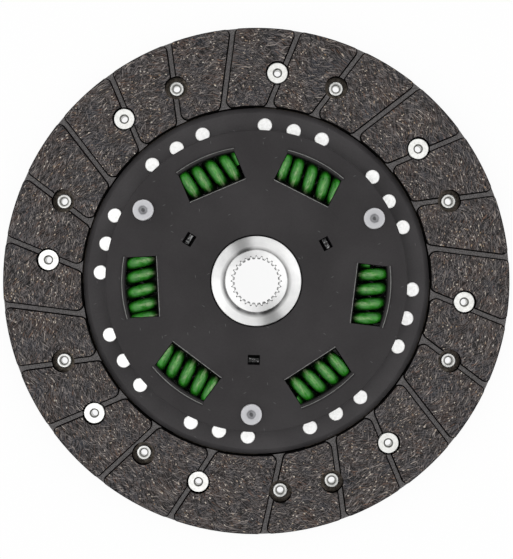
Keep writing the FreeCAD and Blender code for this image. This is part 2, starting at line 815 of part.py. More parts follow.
def hub():
    """One forging: splined bore, turned front ring and boss, and a flange with spring
    windows and with notches that the stop pins run in."""
    body = new_body("hub")
    section = upright_sketch(body, "Section")
    fillet_centre = ("boss_radius + boss_fillet", "hub_ring_top + boss_fillet")
    outline(section, [
        ("tooth_tip_radius", "hub_rear_lift + bore_edge"),
        ("tooth_tip_radius + bore_edge", "hub_rear_lift"),
        ("hub_rear_radius - hub_rear_edge", "hub_rear_lift"),
        ("hub_rear_radius", "hub_rear_lift + hub_rear_edge"),
        ("hub_rear_radius", "flange_base"),
        ("flange_radius", "flange_base"),
        ("flange_radius", "flange_top"),
        ("hub_ring_radius", "flange_top"),
        ("hub_ring_radius", "hub_ring_top - hub_ring_edge"),
        ("hub_ring_radius - hub_ring_edge", "hub_ring_top"),
        ("boss_radius + boss_fillet", "hub_ring_top", fillet_centre, "right"),
        ("boss_radius", "hub_ring_top + boss_fillet"),
        ("boss_radius", "boss_top - boss_edge"),
        ("boss_radius - boss_edge", "boss_top"),
        ("tooth_tip_radius + bore_edge", "boss_top"),
        ("tooth_tip_radius", "boss_top - bore_edge"),
    ])
    revolve(body, section)

    features = []
    inner = "spring_circle - spring_radius - window_clearance"
    straight = "(spring_circle + spring_radius + window_clearance)"
    outer = f"sqrt({straight}^2 + window_half_width^2)"
    for turn in ("first_window_angle", "second_window_angle"):
        window = level_sketch(body, "Window", "0", turn)
        outline(window, window_outline(inner, outer, "window_half_width"))
        features.append(pocket(body, window))
    notch = level_sketch(body, "Notch", "0", "pin_angle")
    half_width = "pin_spacer_radius + stop_clearance + pin_circle * sin(twist_range)"
    outline(notch, [
        ("pin_circle - pin_spacer_radius - notch_floor_clearance", f"-({half_width})"),
        ("flange_radius + pin_spacer_radius", f"-({half_width})"),
        ("flange_radius + pin_spacer_radius", half_width),
        ("pin_circle - pin_spacer_radius - notch_floor_clearance", half_width),
    ])
    features.append(pocket(body, notch))
    repeat(body, features, WINDOW_SETS)

    space = level_sketch(body, "ToothSpace")
    start = "tooth_tip_radius - bore_edge"
    start_half = f"root_half_width + (tooth_root_radius - {start}) * tan(tooth_slope)"
    outline(space, [
        (start, f"-({start_half})"),
        ("tooth_root_radius", "-root_half_width"),
        ("tooth_root_radius", "root_half_width"),
        (start, start_half),
    ])
    repeat(body, [pocket(body, space)], TOOTH_COUNT)
    return body


# Torsion springs

def coil(name, pitch, height, start_turns, start_height):
    """A stretch of round wire wound about Z, from a given number of turns and height."""
    helix = doc.addObject("Part::Helix", f"{name}_path")
    bind(helix, "Pitch", pitch)
    bind(helix, "Height", height)
    bind(helix, "Radius", "coil_radius")
    helix.Placement = Placement(Vector(), Rotation(Vector(0, 0, 1), 360 * value(start_turns)))
    bind(helix, "Placement.Base.z", start_height)
    bind(helix, "Placement.Rotation.Angle", f"360 * ({start_turns})")
    wire = doc.addObject("Part::Circle", f"{name}_section")
    bind(wire, "Radius", "wire_radius")
    angle = 360 * value(start_turns)
    turned = Rotation(Vector(0, 0, 1), angle)
    wire.Placement = Placement(
        turned.multVec(Vector(value("coil_radius"), 0, value(start_height))),
        turned.multiply(Rotation(Vector(1, 0, 0), 90)))
    sweep = doc.addObject("Part::Sweep", f"{name}_sweep")
    sweep.Sections = [wire]
    sweep.Spine = (helix, [])
    sweep.Solid = True
    sweep.Frenet = True
    return sweep


def torsion_spring(number, window_angle, crest):
    """A right-hand compression spring with closed, ground ends. crest is how far along
    the window, towards +Y of its own frame, a coil comes to the top."""
    name = f"spring_{number}"
    open_turns = "open_height / coil_pitch"
    stretches = [
        coil(f"{name}_first_end", "closed_pitch", "closed_height", "0", "-spring_length / 2"),
        coil(f"{name}_middle", "coil_pitch", "open_height", "closed_turns",
             "closed_height - spring_length / 2"),
        coil(f"{name}_last_end", "closed_pitch", "closed_height",
             f"closed_turns + {open_turns}", "spring_length / 2 - closed_height"),
    ]
    wound = doc.addObject("Part::MultiFuse", f"{name}_wound")
    wound.Shapes = stretches
    ground = doc.addObject("Part::Cylinder", f"{name}_ground")
    bind(ground, "Radius", "spring_radius + wire_radius")
    bind(ground, "Height", "spring_length")
    bind(ground, "Placement.Base.z", "-spring_length / 2")
    spring = doc.addObject("Part::Common", f"torsion_spring_{number}")
    spring.Base = wound
    spring.Tool = ground

    # The wire passes the middle of the spring half its turns after its start
    middle_angle = 360 * value(f"closed_turns + {open_turns} / 2")
    roll = -90 - middle_angle - 360 * value(f"{crest} / coil_pitch")
    spring.Placement = (
        Placement(Vector(0, 0, value("spring_level")), Rotation(Vector(0, 0, 1), value(window_angle)))
        * Placement(Vector(value("spring_circle"), 0, 0), Rotation(Vector(1, 0, 0), -90))
        * Placement(Vector(), Rotation(Vector(0, 0, 1), roll)))
    return spring


def torsion_springs():
    windows = [
        ("second_window_angle + 2 * window_pitch", "crest_one"),
        ("first_window_angle", "crest_two"),
        ("second_window_angle", "crest_three"),
        ("first_window_angle + window_pitch", "crest_four"),
        ("second_window_angle + window_pitch", "crest_five"),
        ("first_window_angle + 2 * window_pitch", "crest_six"),
    ]
    return [
        torsion_spring(number, angle, crest)
        for number, (angle, crest) in enumerate(windows, start=1)
    ]


# Stop pins

def stop_pin(number):
    """A shouldered pin riveted over at both plates, so that it also spaces them."""
    body = new_body(f"stop_pin_{number}", "drive_base")
    angle = f"(pin_angle + {number - 1} * window_pitch)"
    bind(body, "Placement.Base.x", f"pin_circle * cos{angle}")
    bind(body, "Placement.Base.y", f"pin_circle * sin{angle}")
    section = upright_sketch(body, "Section")
    spacer_top = "drive_thickness + spacer_length"
    plate_top = f"{spacer_top} + cover_thickness"
    head_top = f"{plate_top} + pin_head_height"
    outline(section, [
        ("0", "-pin_head_height"),
        ("pin_head_radius - pin_edge", "-pin_head_height"),
        ("pin_head_radius", "pin_edge - pin_head_height"),
        ("pin_head_radius", "0"),
        ("pin_tenon_radius", "0"),
        ("pin_tenon_radius", "drive_thickness"),
        ("pin_spacer_radius", "drive_thickness"),
        ("pin_spacer_radius", spacer_top),
        ("pin_tenon_radius", spacer_top),
        ("pin_tenon_radius", plate_top),
        ("pin_head_radius", plate_top),
        ("pin_head_radius", f"{head_top} - pin_edge"),
        ("pin_head_radius - pin_edge", head_top),
        ("pin_cup_radius", head_top),
        ("pin_dimple_radius", f"{head_top} - pin_cup_depth"),
        ("0", f"{head_top} - pin_cup_depth - pin_dimple_depth"),
    ])
    revolve(body, section)
    return body


# Friction rings, spring washer and bush

def front_friction_ring():
    """A ring whose tabs stand in the cover's slots, so that it turns with the cover."""
    body = new_body("front_friction_ring", "front_ring_base")
    ring = level_sketch(body, "Ring")
    circle(ring, "front_ring_outer_radius")
    circle(ring, "front_ring_inner_radius")
    pad(body, ring, "front_ring_thickness")
    tab = level_sketch(body, "Tab", "0", "slot_angle")
    outline(tab, [
        ("tab_inner_radius", "-tab_half_width"),
        ("tab_outer_radius", "-tab_half_width"),
        ("tab_outer_radius", "tab_half_width"),
        ("tab_inner_radius", "tab_half_width"),
    ])
    height = "front_ring_thickness + washer_height + cover_thickness - tab_sink"
    repeat(body, [pad(body, tab, height)], WINDOW_SETS)
    return body


def spring_washer():
    """A dished washer: its outer edge presses on the ring, its inner edge on the cover."""
    body = new_body("spring_washer", "front_ring_top")
    section = upright_sketch(body, "Section")
    outline(section, [
        ("washer_outer_radius", "0"),
        ("washer_outer_radius", "washer_thickness"),
        ("washer_inner_radius", "washer_height"),
        ("washer_inner_radius", "washer_height - washer_thickness"),
    ])
    revolve(body, section)
    return body


def rear_friction_ring():
    body = new_body("rear_friction_ring", "drive_top")
    ring = level_sketch(body, "Ring")
    circle(ring, "rear_ring_outer_radius")
    circle(ring, "rear_ring_inner_radius")
    pad(body, ring, "rear_ring_thickness")
    return body


def centring_bush():
    """A collared bush in the drive plate's bore, in which the hub's rear end turns."""
    body = new_body("centring_bush", "drive_base")
    section = upright_sketch(body, "Section")
    outline(section, [
        ("bush_bore_radius", "-bush_collar_thickness"),
        ("bush_outer_radius + bush_collar_width", "-bush_collar_thickness"),
        ("bush_outer_radius + bush_collar_width", "0"),
        ("bush_outer_radius", "0"),
        ("bush_outer_radius", "drive_thickness"),
        ("bush_bore_radius", "drive_thickness"),
    ])
    revolve(body, section)
    return body


# Checking and writing

def check(parts):
    """Stops if a feature failed, a cut took nothing away, or a sub-part isn't solid."""
    for item in doc.Objects:
        if "Invalid" in item.State or "Error" in item.State:
            raise RuntimeError(f"{item.Name} failed: {item.getStatusString()}")
        if item.TypeId in ("PartDesign::Pocket", "PartDesign::Groove"):
            if item.Shape.Volume >= item.BaseFeature.Shape.Volume:
                raise RuntimeError(f"{item.Name} cuts nothing")
    for item in parts:
        if item.Shape.isNull() or not item.Shape.isValid() or not item.Shape.Solids:
            raise RuntimeError(f"{item.Label} isn't a valid solid")


def main():
    parts = [
        facing("front_facing", "front_facing_base", True, FRONT_ROW, REAR_ROW),
        facing("rear_facing", "facing_thickness", False, REAR_ROW, FRONT_ROW),
        facing_rivets("front_facing_rivets", "front_face - head_recess_depth", True, FRONT_ROW),
        facing_rivets("rear_facing_rivets", "head_recess_depth", False, REAR_ROW),
        segment_rivets(),
        drive_plate(),
        cover_plate(),
        hub(),
        front_friction_ring(),
        spring_washer(),
        rear_friction_ring(),
        centring_bush(),
    ]
    parts += [cushion_segment(number) for number in range(1, SEGMENT_COUNT + 1)]
    parts += [stop_pin(number) for number in range(1, WINDOW_SETS + 1)]
    parts += torsion_springs()
    doc.recompute()
    check(parts)
    os.makedirs("parts", exist_ok=True)
    for item in parts:
        item.Shape.exportStep(f"parts/{item.Label}.step")
        box = item.Shape.BoundBox
        print(f"{item.Label}: {len(item.Shape.Solids)} solids, {item.Shape.Volume:.1f} mm3, "
              f"Z {box.ZMin:.2f} to {box.ZMax:.2f}")


main()
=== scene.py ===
import json
import math

import bpy
from mathutils import Matrix, Vector


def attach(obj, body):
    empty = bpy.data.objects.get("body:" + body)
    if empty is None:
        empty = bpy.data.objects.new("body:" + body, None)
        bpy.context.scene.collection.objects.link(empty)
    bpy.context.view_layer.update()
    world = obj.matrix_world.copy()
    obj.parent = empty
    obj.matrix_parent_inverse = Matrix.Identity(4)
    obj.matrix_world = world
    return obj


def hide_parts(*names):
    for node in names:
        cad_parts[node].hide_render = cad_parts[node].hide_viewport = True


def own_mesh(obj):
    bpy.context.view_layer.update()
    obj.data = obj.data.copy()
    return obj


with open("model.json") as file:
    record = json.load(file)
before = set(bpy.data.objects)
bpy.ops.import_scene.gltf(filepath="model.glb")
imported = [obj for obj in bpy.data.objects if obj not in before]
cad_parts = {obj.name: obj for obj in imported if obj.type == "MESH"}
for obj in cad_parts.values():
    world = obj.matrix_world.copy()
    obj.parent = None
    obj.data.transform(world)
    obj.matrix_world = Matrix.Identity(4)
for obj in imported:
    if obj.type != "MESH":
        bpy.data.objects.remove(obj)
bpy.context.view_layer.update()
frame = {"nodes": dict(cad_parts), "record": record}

# Lengths are in millimetres until they reach Blender, which works in metres
MM = 0.001

# Heights above the rear friction face
FRONT_FACE = 9.3
FACING_MIDDLE = FRONT_FACE / 2
FRONT_RECESS_FLOOR = 7.1
REAR_RECESS_FLOOR = 2.2
DRIVE_PLATE_BASE = 5.0
DRIVE_PLATE_TOP = 7.3
COVER_TOP = 16.2
OUTER_CREST = 17.2
INNER_CREST = 16.8
RING_TAB_TOP = 15.7

# Radii about the disc's axis. The cover's outer lips stand beyond the inner ones, and all of
# its windows lie within one radius.
FACING_RADIUS = 114.0
FACING_MEAN_RADIUS = 96.0
WINDOWS_WITHIN = 62.0
INNER_LIPS_WITHIN = 52.0
HUB_RING_RADIUS = 19.9
BOSS_RADIUS = 13.67
SPLINE_ROOT_RADIUS = 11.2

# A face is a wall where its unit normal rises less than this
STEEP = 0.85

# Tubular rivets of the facings: each row's first angle and count, then the rivets off the row
SEGMENT_PITCH = 45.0
FACING_RIVET_CIRCLE = 94.2
FRONT_RIVET_ROW = (309.2, 7)
FRONT_RIVETS_OFF_ROW = [(253.9, 94.2)]
REAR_RIVET_ROW = (337.5, 6)
REAR_RIVETS_OFF_ROW = [(236.8, 92.9), (276.5, 95.4), (290.7, 96.5)]
TUBE_SHANK_RADIUS = 2.6
TUBE_BORE_RADIUS = 1.5
TUBE_MOUTH_RADIUS = 2.1
TUBE_HEAD_RADIUS = 4.75
TUBE_HEAD_HEIGHT = 1.1
TUBE_EDGE = 0.25
TUBE_GRIP = 2.4
TUBE_ROLL_RADIUS = 3.45
TUBE_ROLL_HEIGHT = 1.2
TUBE_ROLL_STEPS = 16
TUBE_ROLL_FULLNESS = 0.6
TUBE_SHADE_RADIUS = 2.55

# Solid rivets: three at each cushion segment's foot, the middle one a little further in
SEGMENT_COUNT = 8
SEGMENT_ANGLE = 31.0
SEGMENT_RIVETS = [(-10.85, 70.3), (0.0, 69.7), (10.85, 70.3)]
SOLID_SHANK_RADIUS = 2.0
SOLID_HEAD_RADIUS = 3.25
SOLID_HEAD_HEIGHT = 1.0
SOLID_TAIL_RADIUS = 2.9
SOLID_TAIL_HEIGHT = 0.9
SOLID_EDGE = 0.25
SEGMENT_THICKNESS = 0.7
RIVET_FACETS = 48

# Stop pins, which all stand at the same pitch
PIN_CIRCLE = 59.15
PIN_ANGLE = 27.9
PIN_PITCH = 120.0

# The torsion springs: round wire, right-hand wound, ends closed and ground. Against the CAD's,
# their outside radius is 0.3 mm smaller and they sit 0.25 mm further out, which clears the
# hub's window as it turns, and their wire's radius is 0.25 mm larger, as broad as it looks.
WIRE_RADIUS = 2.75
COIL_RADIUS = 5.35
SPRING_RADIUS = COIL_RADIUS + WIRE_RADIUS
SPRING_LENGTH = 26.4
COIL_PITCH = 6.65
CLOSED_PITCH = 5.6
CLOSED_TURNS = 0.75
SPRING_CIRCLE = 51.45
SPRING_LEVEL = 9.0
WIRE_FACETS = 28
COIL_FACETS = 56
# Each end of the wire runs on past the spring's end, where it is ground to a thin tip
TIP_TURNS = 0.25
# Each spring's window angle, and how far along the window a coil comes to the top
SPRINGS = {
    1: (353.0, 2.7),
    2: (63.0, -0.6),
    3: (113.0, -2.2),
    4: (183.0, 1.5),
    5: (233.0, 0.2),
    6: (303.0, -2.6),
}

# The light: a soft box just off the zenith, and a white tent with an opening at two sides.
# Angles are in degrees and distances in metres. The tent goes from dark to white over each
# edge, given as the sines of two angles off the openings' middle line or off the zenith.
LAMP_BEARING = 200
LAMP_TILT = 24
LAMP_DISTANCE = 1.4
LAMP_SIDE = 0.5
LAMP_POWER = 1.2
TENT_OPENING = 112.0
TENT_BRIGHTNESS = 1.14
OPENING_BRIGHTNESS = 0.0
OPENING_EDGE = (0.17, 0.3)
ZENITH_EDGE = (0.13, 0.05)

# The floor's side and level, in metres. Under the disc its white is painted off as shadow, and
# it goes over to white from one radius to the other, in millimetres: outwards, and inwards in the
# bore.
FLOOR_SIDE = 30.0
FLOOR_LEVEL = -0.0002
WHITE_OUTSIDE = (78.0, 86.0)
WHITE_IN_BORE = (20.0, 16.0)

# The camera, from the photo's perspective: millimetres from the axis and from the front face
CAMERA_OFFSET = (0.09, 0.67)
CAMERA_DISTANCE = 490.0
CAMERA_LENS = 70.16


def linear(hex_colour):
    """An sRGB hex colour as the linear values that a socket takes."""
    parts = [int(hex_colour[start:start + 2], 16) / 255 for start in (1, 3, 5)]
    return (*(part / 12.92 if part <= 0.04045 else ((part + 0.055) / 1.055) ** 2.4
              for part in parts), 1.0)


def add(tree, kind, feeds=None, **settings):
    """Adds a node. feeds maps an input to a value, to a node for its first output,
    or to (node, output)."""
    node = tree.nodes.new(kind)
    for name, setting in settings.items():
        setattr(node, name, setting)
    for name, feed in (feeds or {}).items():
        if isinstance(feed, bpy.types.Node):
            feed = (feed, 0)
        if isinstance(feed, tuple) and isinstance(feed[0], bpy.types.Node):
            tree.links.new(feed[0].outputs[feed[1]], node.inputs[name])
        else:
            node.inputs[name].default_value = feed
    return node


def new_material(name):
    """An empty material, its tree and the object's own coordinates in millimetres."""
    material = bpy.data.materials.new(name)
    material.use_nodes = True
    tree = material.node_tree
    tree.nodes.clear()
    place = add(tree, "ShaderNodeTexCoord")
    place_mm = add(
        tree, "ShaderNodeVectorMath", {0: (place, "Object"), "Scale": 1 / MM}, operation="SCALE")
    return material, tree, place_mm


def from_axis(tree, xyz):
    """The distance from the disc's axis."""
    flat_place = add(tree, "ShaderNodeCombineXYZ", {0: (xyz, 0), 1: (xyz, 1)})
    distance = add(tree, "ShaderNodeVectorMath", {0: flat_place}, operation="LENGTH")
    return distance, "Value"


def face_level(tree):
    """How level a face is: 1 for a level face and 0 for an upright one."""
    facet = add(tree, "ShaderNodeNewGeometry")
    slope = add(tree, "ShaderNodeSeparateXYZ", {0: (facet, "True Normal")})
    return add(tree, "ShaderNodeMath", {0: (slope, 2)}, operation="ABSOLUTE")


def close(tree, **feeds):
    """Ends a material in its surface shader. Input names have _ for their blanks."""
    inputs = {name.replace("_", " "): feed for name, feed in feeds.items()}
    shader = add(tree, "ShaderNodeBsdfPrincipled", inputs)
    add(tree, "ShaderNodeOutputMaterial", {"Surface": shader})


def friction_lining():
    # Resin-bonded friction lining, wound from yarn, pressed and ground: brown-grey and dull,
    # full of short pale fibres that lie along the ring. Groove floors keep the smooth grey skin of
    # the mould, and their sloped walls, the holes and the broken edges are painted black as shade.
    material, tree, place = new_material("resin_bonded_friction_lining")
    xyz = add(tree, "ShaderNodeSeparateXYZ", {0: place})
    # Arc length, radius and height, in which the yarn runs straight. Either half of the ring
    # counts its arc from its own middle, and they meet along a ragged line.
    ragged_width = 24.0
    wobble = add(tree, "ShaderNodeTexNoise", {"Vector": place, "Scale": 0.2, "Detail": 3.0})
    border = add(
        tree, "ShaderNodeMath", {0: wobble, 1: ragged_width, 2: (xyz, 0)},
        operation="MULTIPLY_ADD")
    side = add(
        tree, "ShaderNodeMath", {0: border, 1: ragged_width / 2}, operation="GREATER_THAN")
    sign = add(tree, "ShaderNodeMath", {0: side, 1: 2.0, 2: -1.0}, operation="MULTIPLY_ADD")
    x_turned = add(tree, "ShaderNodeMath", {0: (xyz, 0), 1: sign}, operation="MULTIPLY")
    y_turned = add(tree, "ShaderNodeMath", {0: (xyz, 1), 1: sign}, operation="MULTIPLY")
    angle = add(tree, "ShaderNodeMath", {0: y_turned, 1: x_turned}, operation="ARCTAN2")
    arc = add(
        tree, "ShaderNodeMath", {0: angle, 1: FACING_MEAN_RADIUS}, operation="MULTIPLY")
    radius = from_axis(tree, xyz)
    wound = add(tree, "ShaderNodeCombineXYZ", {0: arc, 1: radius, 2: (xyz, 2)})
    # Pressing carries the yarn up to 11 mm off its line, in swirls about 20 mm across
    swirl_reach = 11.0
    swirl = add(tree, "ShaderNodeTexNoise", {"Vector": place, "Scale": 0.05, "Detail": 1.0})
    swirled = add(
        tree, "ShaderNodeVectorMath",
        {0: (swirl, "Color"), 1: (swirl_reach, swirl_reach, 0.0), 2: wound},
        operation="MULTIPLY_ADD")

    # The pressed resin between the fibres: brown-grey, clouded rusty and bluish
    grit = add(
        tree, "ShaderNodeTexNoise",
        {"Vector": place, "Scale": 2.0, "Detail": 2.0, "Roughness": 0.8})
    patches = add(tree, "ShaderNodeTexNoise", {"Vector": place, "Scale": 0.09, "Detail": 5.0})
    resin_share = add(
        tree, "ShaderNodeMapRange", {"Value": grit, "From Min": 0.36, "From Max": 0.64})
    resin = add(
        tree, "ShaderNodeMix", {0: resin_share, 6: linear("#171515"), 7: linear("#464343")},
        data_type="RGBA")
    rusty = add(
        tree, "ShaderNodeMapRange", {"Value": patches, "From Min": 0.52, "From Max": 0.66,
                                     "To Max": 0.36})
    bluish = add(
        tree, "ShaderNodeMapRange", {"Value": patches, "From Min": 0.48, "From Max": 0.36,
                                     "To Max": 0.5})
    warmer = add(
        tree, "ShaderNodeMix", {0: rusty, 6: (resin, 2), 7: linear("#584439")}, data_type="RGBA")
    colour = add(
        tree, "ShaderNodeMix", {0: bluish, 6: (warmer, 2), 7: linear("#3b3f47")}, data_type="RGBA")

    # Fibres about 0.3 mm wide and 2 to 4 mm long. Each kind has its turn from the yarn's line,
    # the noise where it starts and where it is full, and its colour.
    fibre_size = (4.6, 0.42, 3.0)
    fibres = [
        (-0.42, 0.54, 0.62, "#545050"),
        (0.36, 0.55, 0.63, "#5e5a5a"),
        (1.10, 0.57, 0.65, "#585454"),
        (0.80, 0.51, 0.59, "#131212"),
        (-0.12, 0.58, 0.67, "#76706e"),
        (0.55, 0.62, 0.71, "#705546"),
        (-0.70, 0.61, 0.70, "#8a8380"),
        (0.10, 0.63, 0.72, "#b9aea4"),
    ]
    height = grit
    for number, (turn, start, full, fibre_colour) in enumerate(fibres):
        lay = add(
            tree, "ShaderNodeMapping",
            {"Vector": swirled, "Location": (31.0 * number, 17.0 * number, 0.0),
             "Rotation": (0.0, 0.0, turn), "Scale": fibre_size},
            vector_type="TEXTURE")
        yarn = add(
            tree, "ShaderNodeTexNoise",
            {"Vector": lay, "Scale": 1.0, "Detail": 2.0, "Roughness": 0.55})
        shown = add(
            tree, "ShaderNodeMapRange",
            {"Value": yarn, "From Min": start, "From Max": full, "To Max": 0.95})
        colour = add(
            tree, "ShaderNodeMix", {0: shown, 6: (colour, 2), 7: linear(fibre_colour)},
            data_type="RGBA")
        height = add(
            tree, "ShaderNodeMath", {0: shown, 1: 0.3, 2: height}, operation="MULTIPLY_ADD")

    # Pores between the fibres, drawn 0.5 mm across so that they show
    pores = add(
        tree, "ShaderNodeTexVoronoi", {"Vector": place, "Scale": 1.1}, voronoi_dimensions="3D")
    pore_draw = add(tree, "ShaderNodeSeparateColor", {0: (pores, "Color")})
    pore = add(tree, "ShaderNodeMapRange", {"Value": pores, "From Min": 0.38, "From Max": 0.22})
    pore_kept = add(tree, "ShaderNodeMath", {0: (pore_draw, 0), 1: 0.5}, operation="LESS_THAN")
    pore_shown = add(tree, "ShaderNodeMath", {0: pore, 1: pore_kept}, operation="MULTIPLY")
    colour = add(
        tree, "ShaderNodeMix", {0: pore_shown, 6: (colour, 2), 7: linear("#131212")},
        data_type="RGBA")

    # Cut ends of glass and brass fibres, drawn 0.4 mm wide and 0.7 mm long so that they show
    end_lay = add(
        tree, "ShaderNodeMapping",
        {"Vector": swirled, "Rotation": (0.0, 0.0, 0.5), "Scale": (1.7, 1.0, 1.0)},
        vector_type="TEXTURE")
    ends = add(
        tree, "ShaderNodeTexVoronoi", {"Vector": end_lay, "Scale": 1.0}, voronoi_dimensions="2D")
    draw = add(tree, "ShaderNodeSeparateColor", {0: (ends, "Color")})
    dot = add(tree, "ShaderNodeMapRange", {"Value": ends, "From Min": 0.27, "From Max": 0.14})
    share_kept = add(
        tree, "ShaderNodeMapRange",
        {"Value": patches, "From Min": 0.42, "From Max": 0.6, "To Min": 0.02, "To Max": 0.2})
    kept = add(tree, "ShaderNodeMath", {0: (draw, 0), 1: share_kept}, operation="LESS_THAN")
    dot_shown = add(tree, "ShaderNodeMath", {0: dot, 1: kept}, operation="MULTIPLY")
    dot_colour = add(
        tree, "ShaderNodeMix", {0: (draw, 1), 6: linear("#8a7258"), 7: linear("#cfc8bd")},
        data_type="RGBA")
    ground_face = add(
        tree, "ShaderNodeMix", {0: dot_shown, 6: (colour, 2), 7: (dot_colour, 2)},
        data_type="RGBA")

    # Below either ground face is the mould's skin. Deeper than a groove's floor, or steeper,
    # it is painted black as shade, but for the ring's outer edge.
    from_middle = add(
        tree, "ShaderNodeMath", {0: (xyz, 2), 1: FACING_MIDDLE}, operation="SUBTRACT")
    half_way = add(tree, "ShaderNodeMath", {0: from_middle}, operation="ABSOLUTE")
    depth = add(
        tree, "ShaderNodeMath", {0: FACING_MIDDLE, 1: half_way}, operation="SUBTRACT")
    skin = add(tree, "ShaderNodeMath", {0: depth, 1: 0.05}, operation="GREATER_THAN")
    skin_tone = add(
        tree, "ShaderNodeMix", {0: resin_share, 6: linear("#454342"), 7: linear("#737070")},
        data_type="RGBA")
    moulded = add(
        tree, "ShaderNodeMix", {0: skin, 6: (ground_face, 2), 7: (skin_tone, 2)},
        data_type="RGBA")
    deep = add(tree, "ShaderNodeMath", {0: depth, 1: 1.5}, operation="GREATER_THAN")
    level = face_level(tree)
    steep = add(tree, "ShaderNodeMath", {0: level, 1: STEEP}, operation="LESS_THAN")
    deep_or_steep_shade = add(tree, "ShaderNodeMath", {0: deep, 1: steep}, operation="MAXIMUM")
    inside = add(
        tree, "ShaderNodeMath", {0: radius, 1: FACING_RADIUS - 0.1},
        operation="LESS_THAN")
    painted_black_share = add(tree, "ShaderNodeMath", {0: deep_or_steep_shade, 1: inside}, operation="MULTIPLY")
    finished = add(
        tree, "ShaderNodeMix", {0: painted_black_share, 6: (moulded, 2), 7: linear("#090808")},
        data_type="RGBA")
    bump = add(
        tree, "ShaderNodeBump", {"Strength": 0.4, "Distance": 0.1 * MM, "Height": height})
    rough = add(
        tree, "ShaderNodeMapRange", {"Value": height, "From Min": 0.4, "From Max": 1.2,
                                     "To Min": 0.9, "To Max": 0.7})
    # The painted shade has little shine, so that it stays dark
    shine = add(
        tree, "ShaderNodeMapRange", {"Value": painted_black_share, "To Min": 0.2, "To Max": 0.02})
    close(tree, Base_Color=(finished, 2), Roughness=rough, Normal=bump, Specular_IOR_Level=shine)
    return material


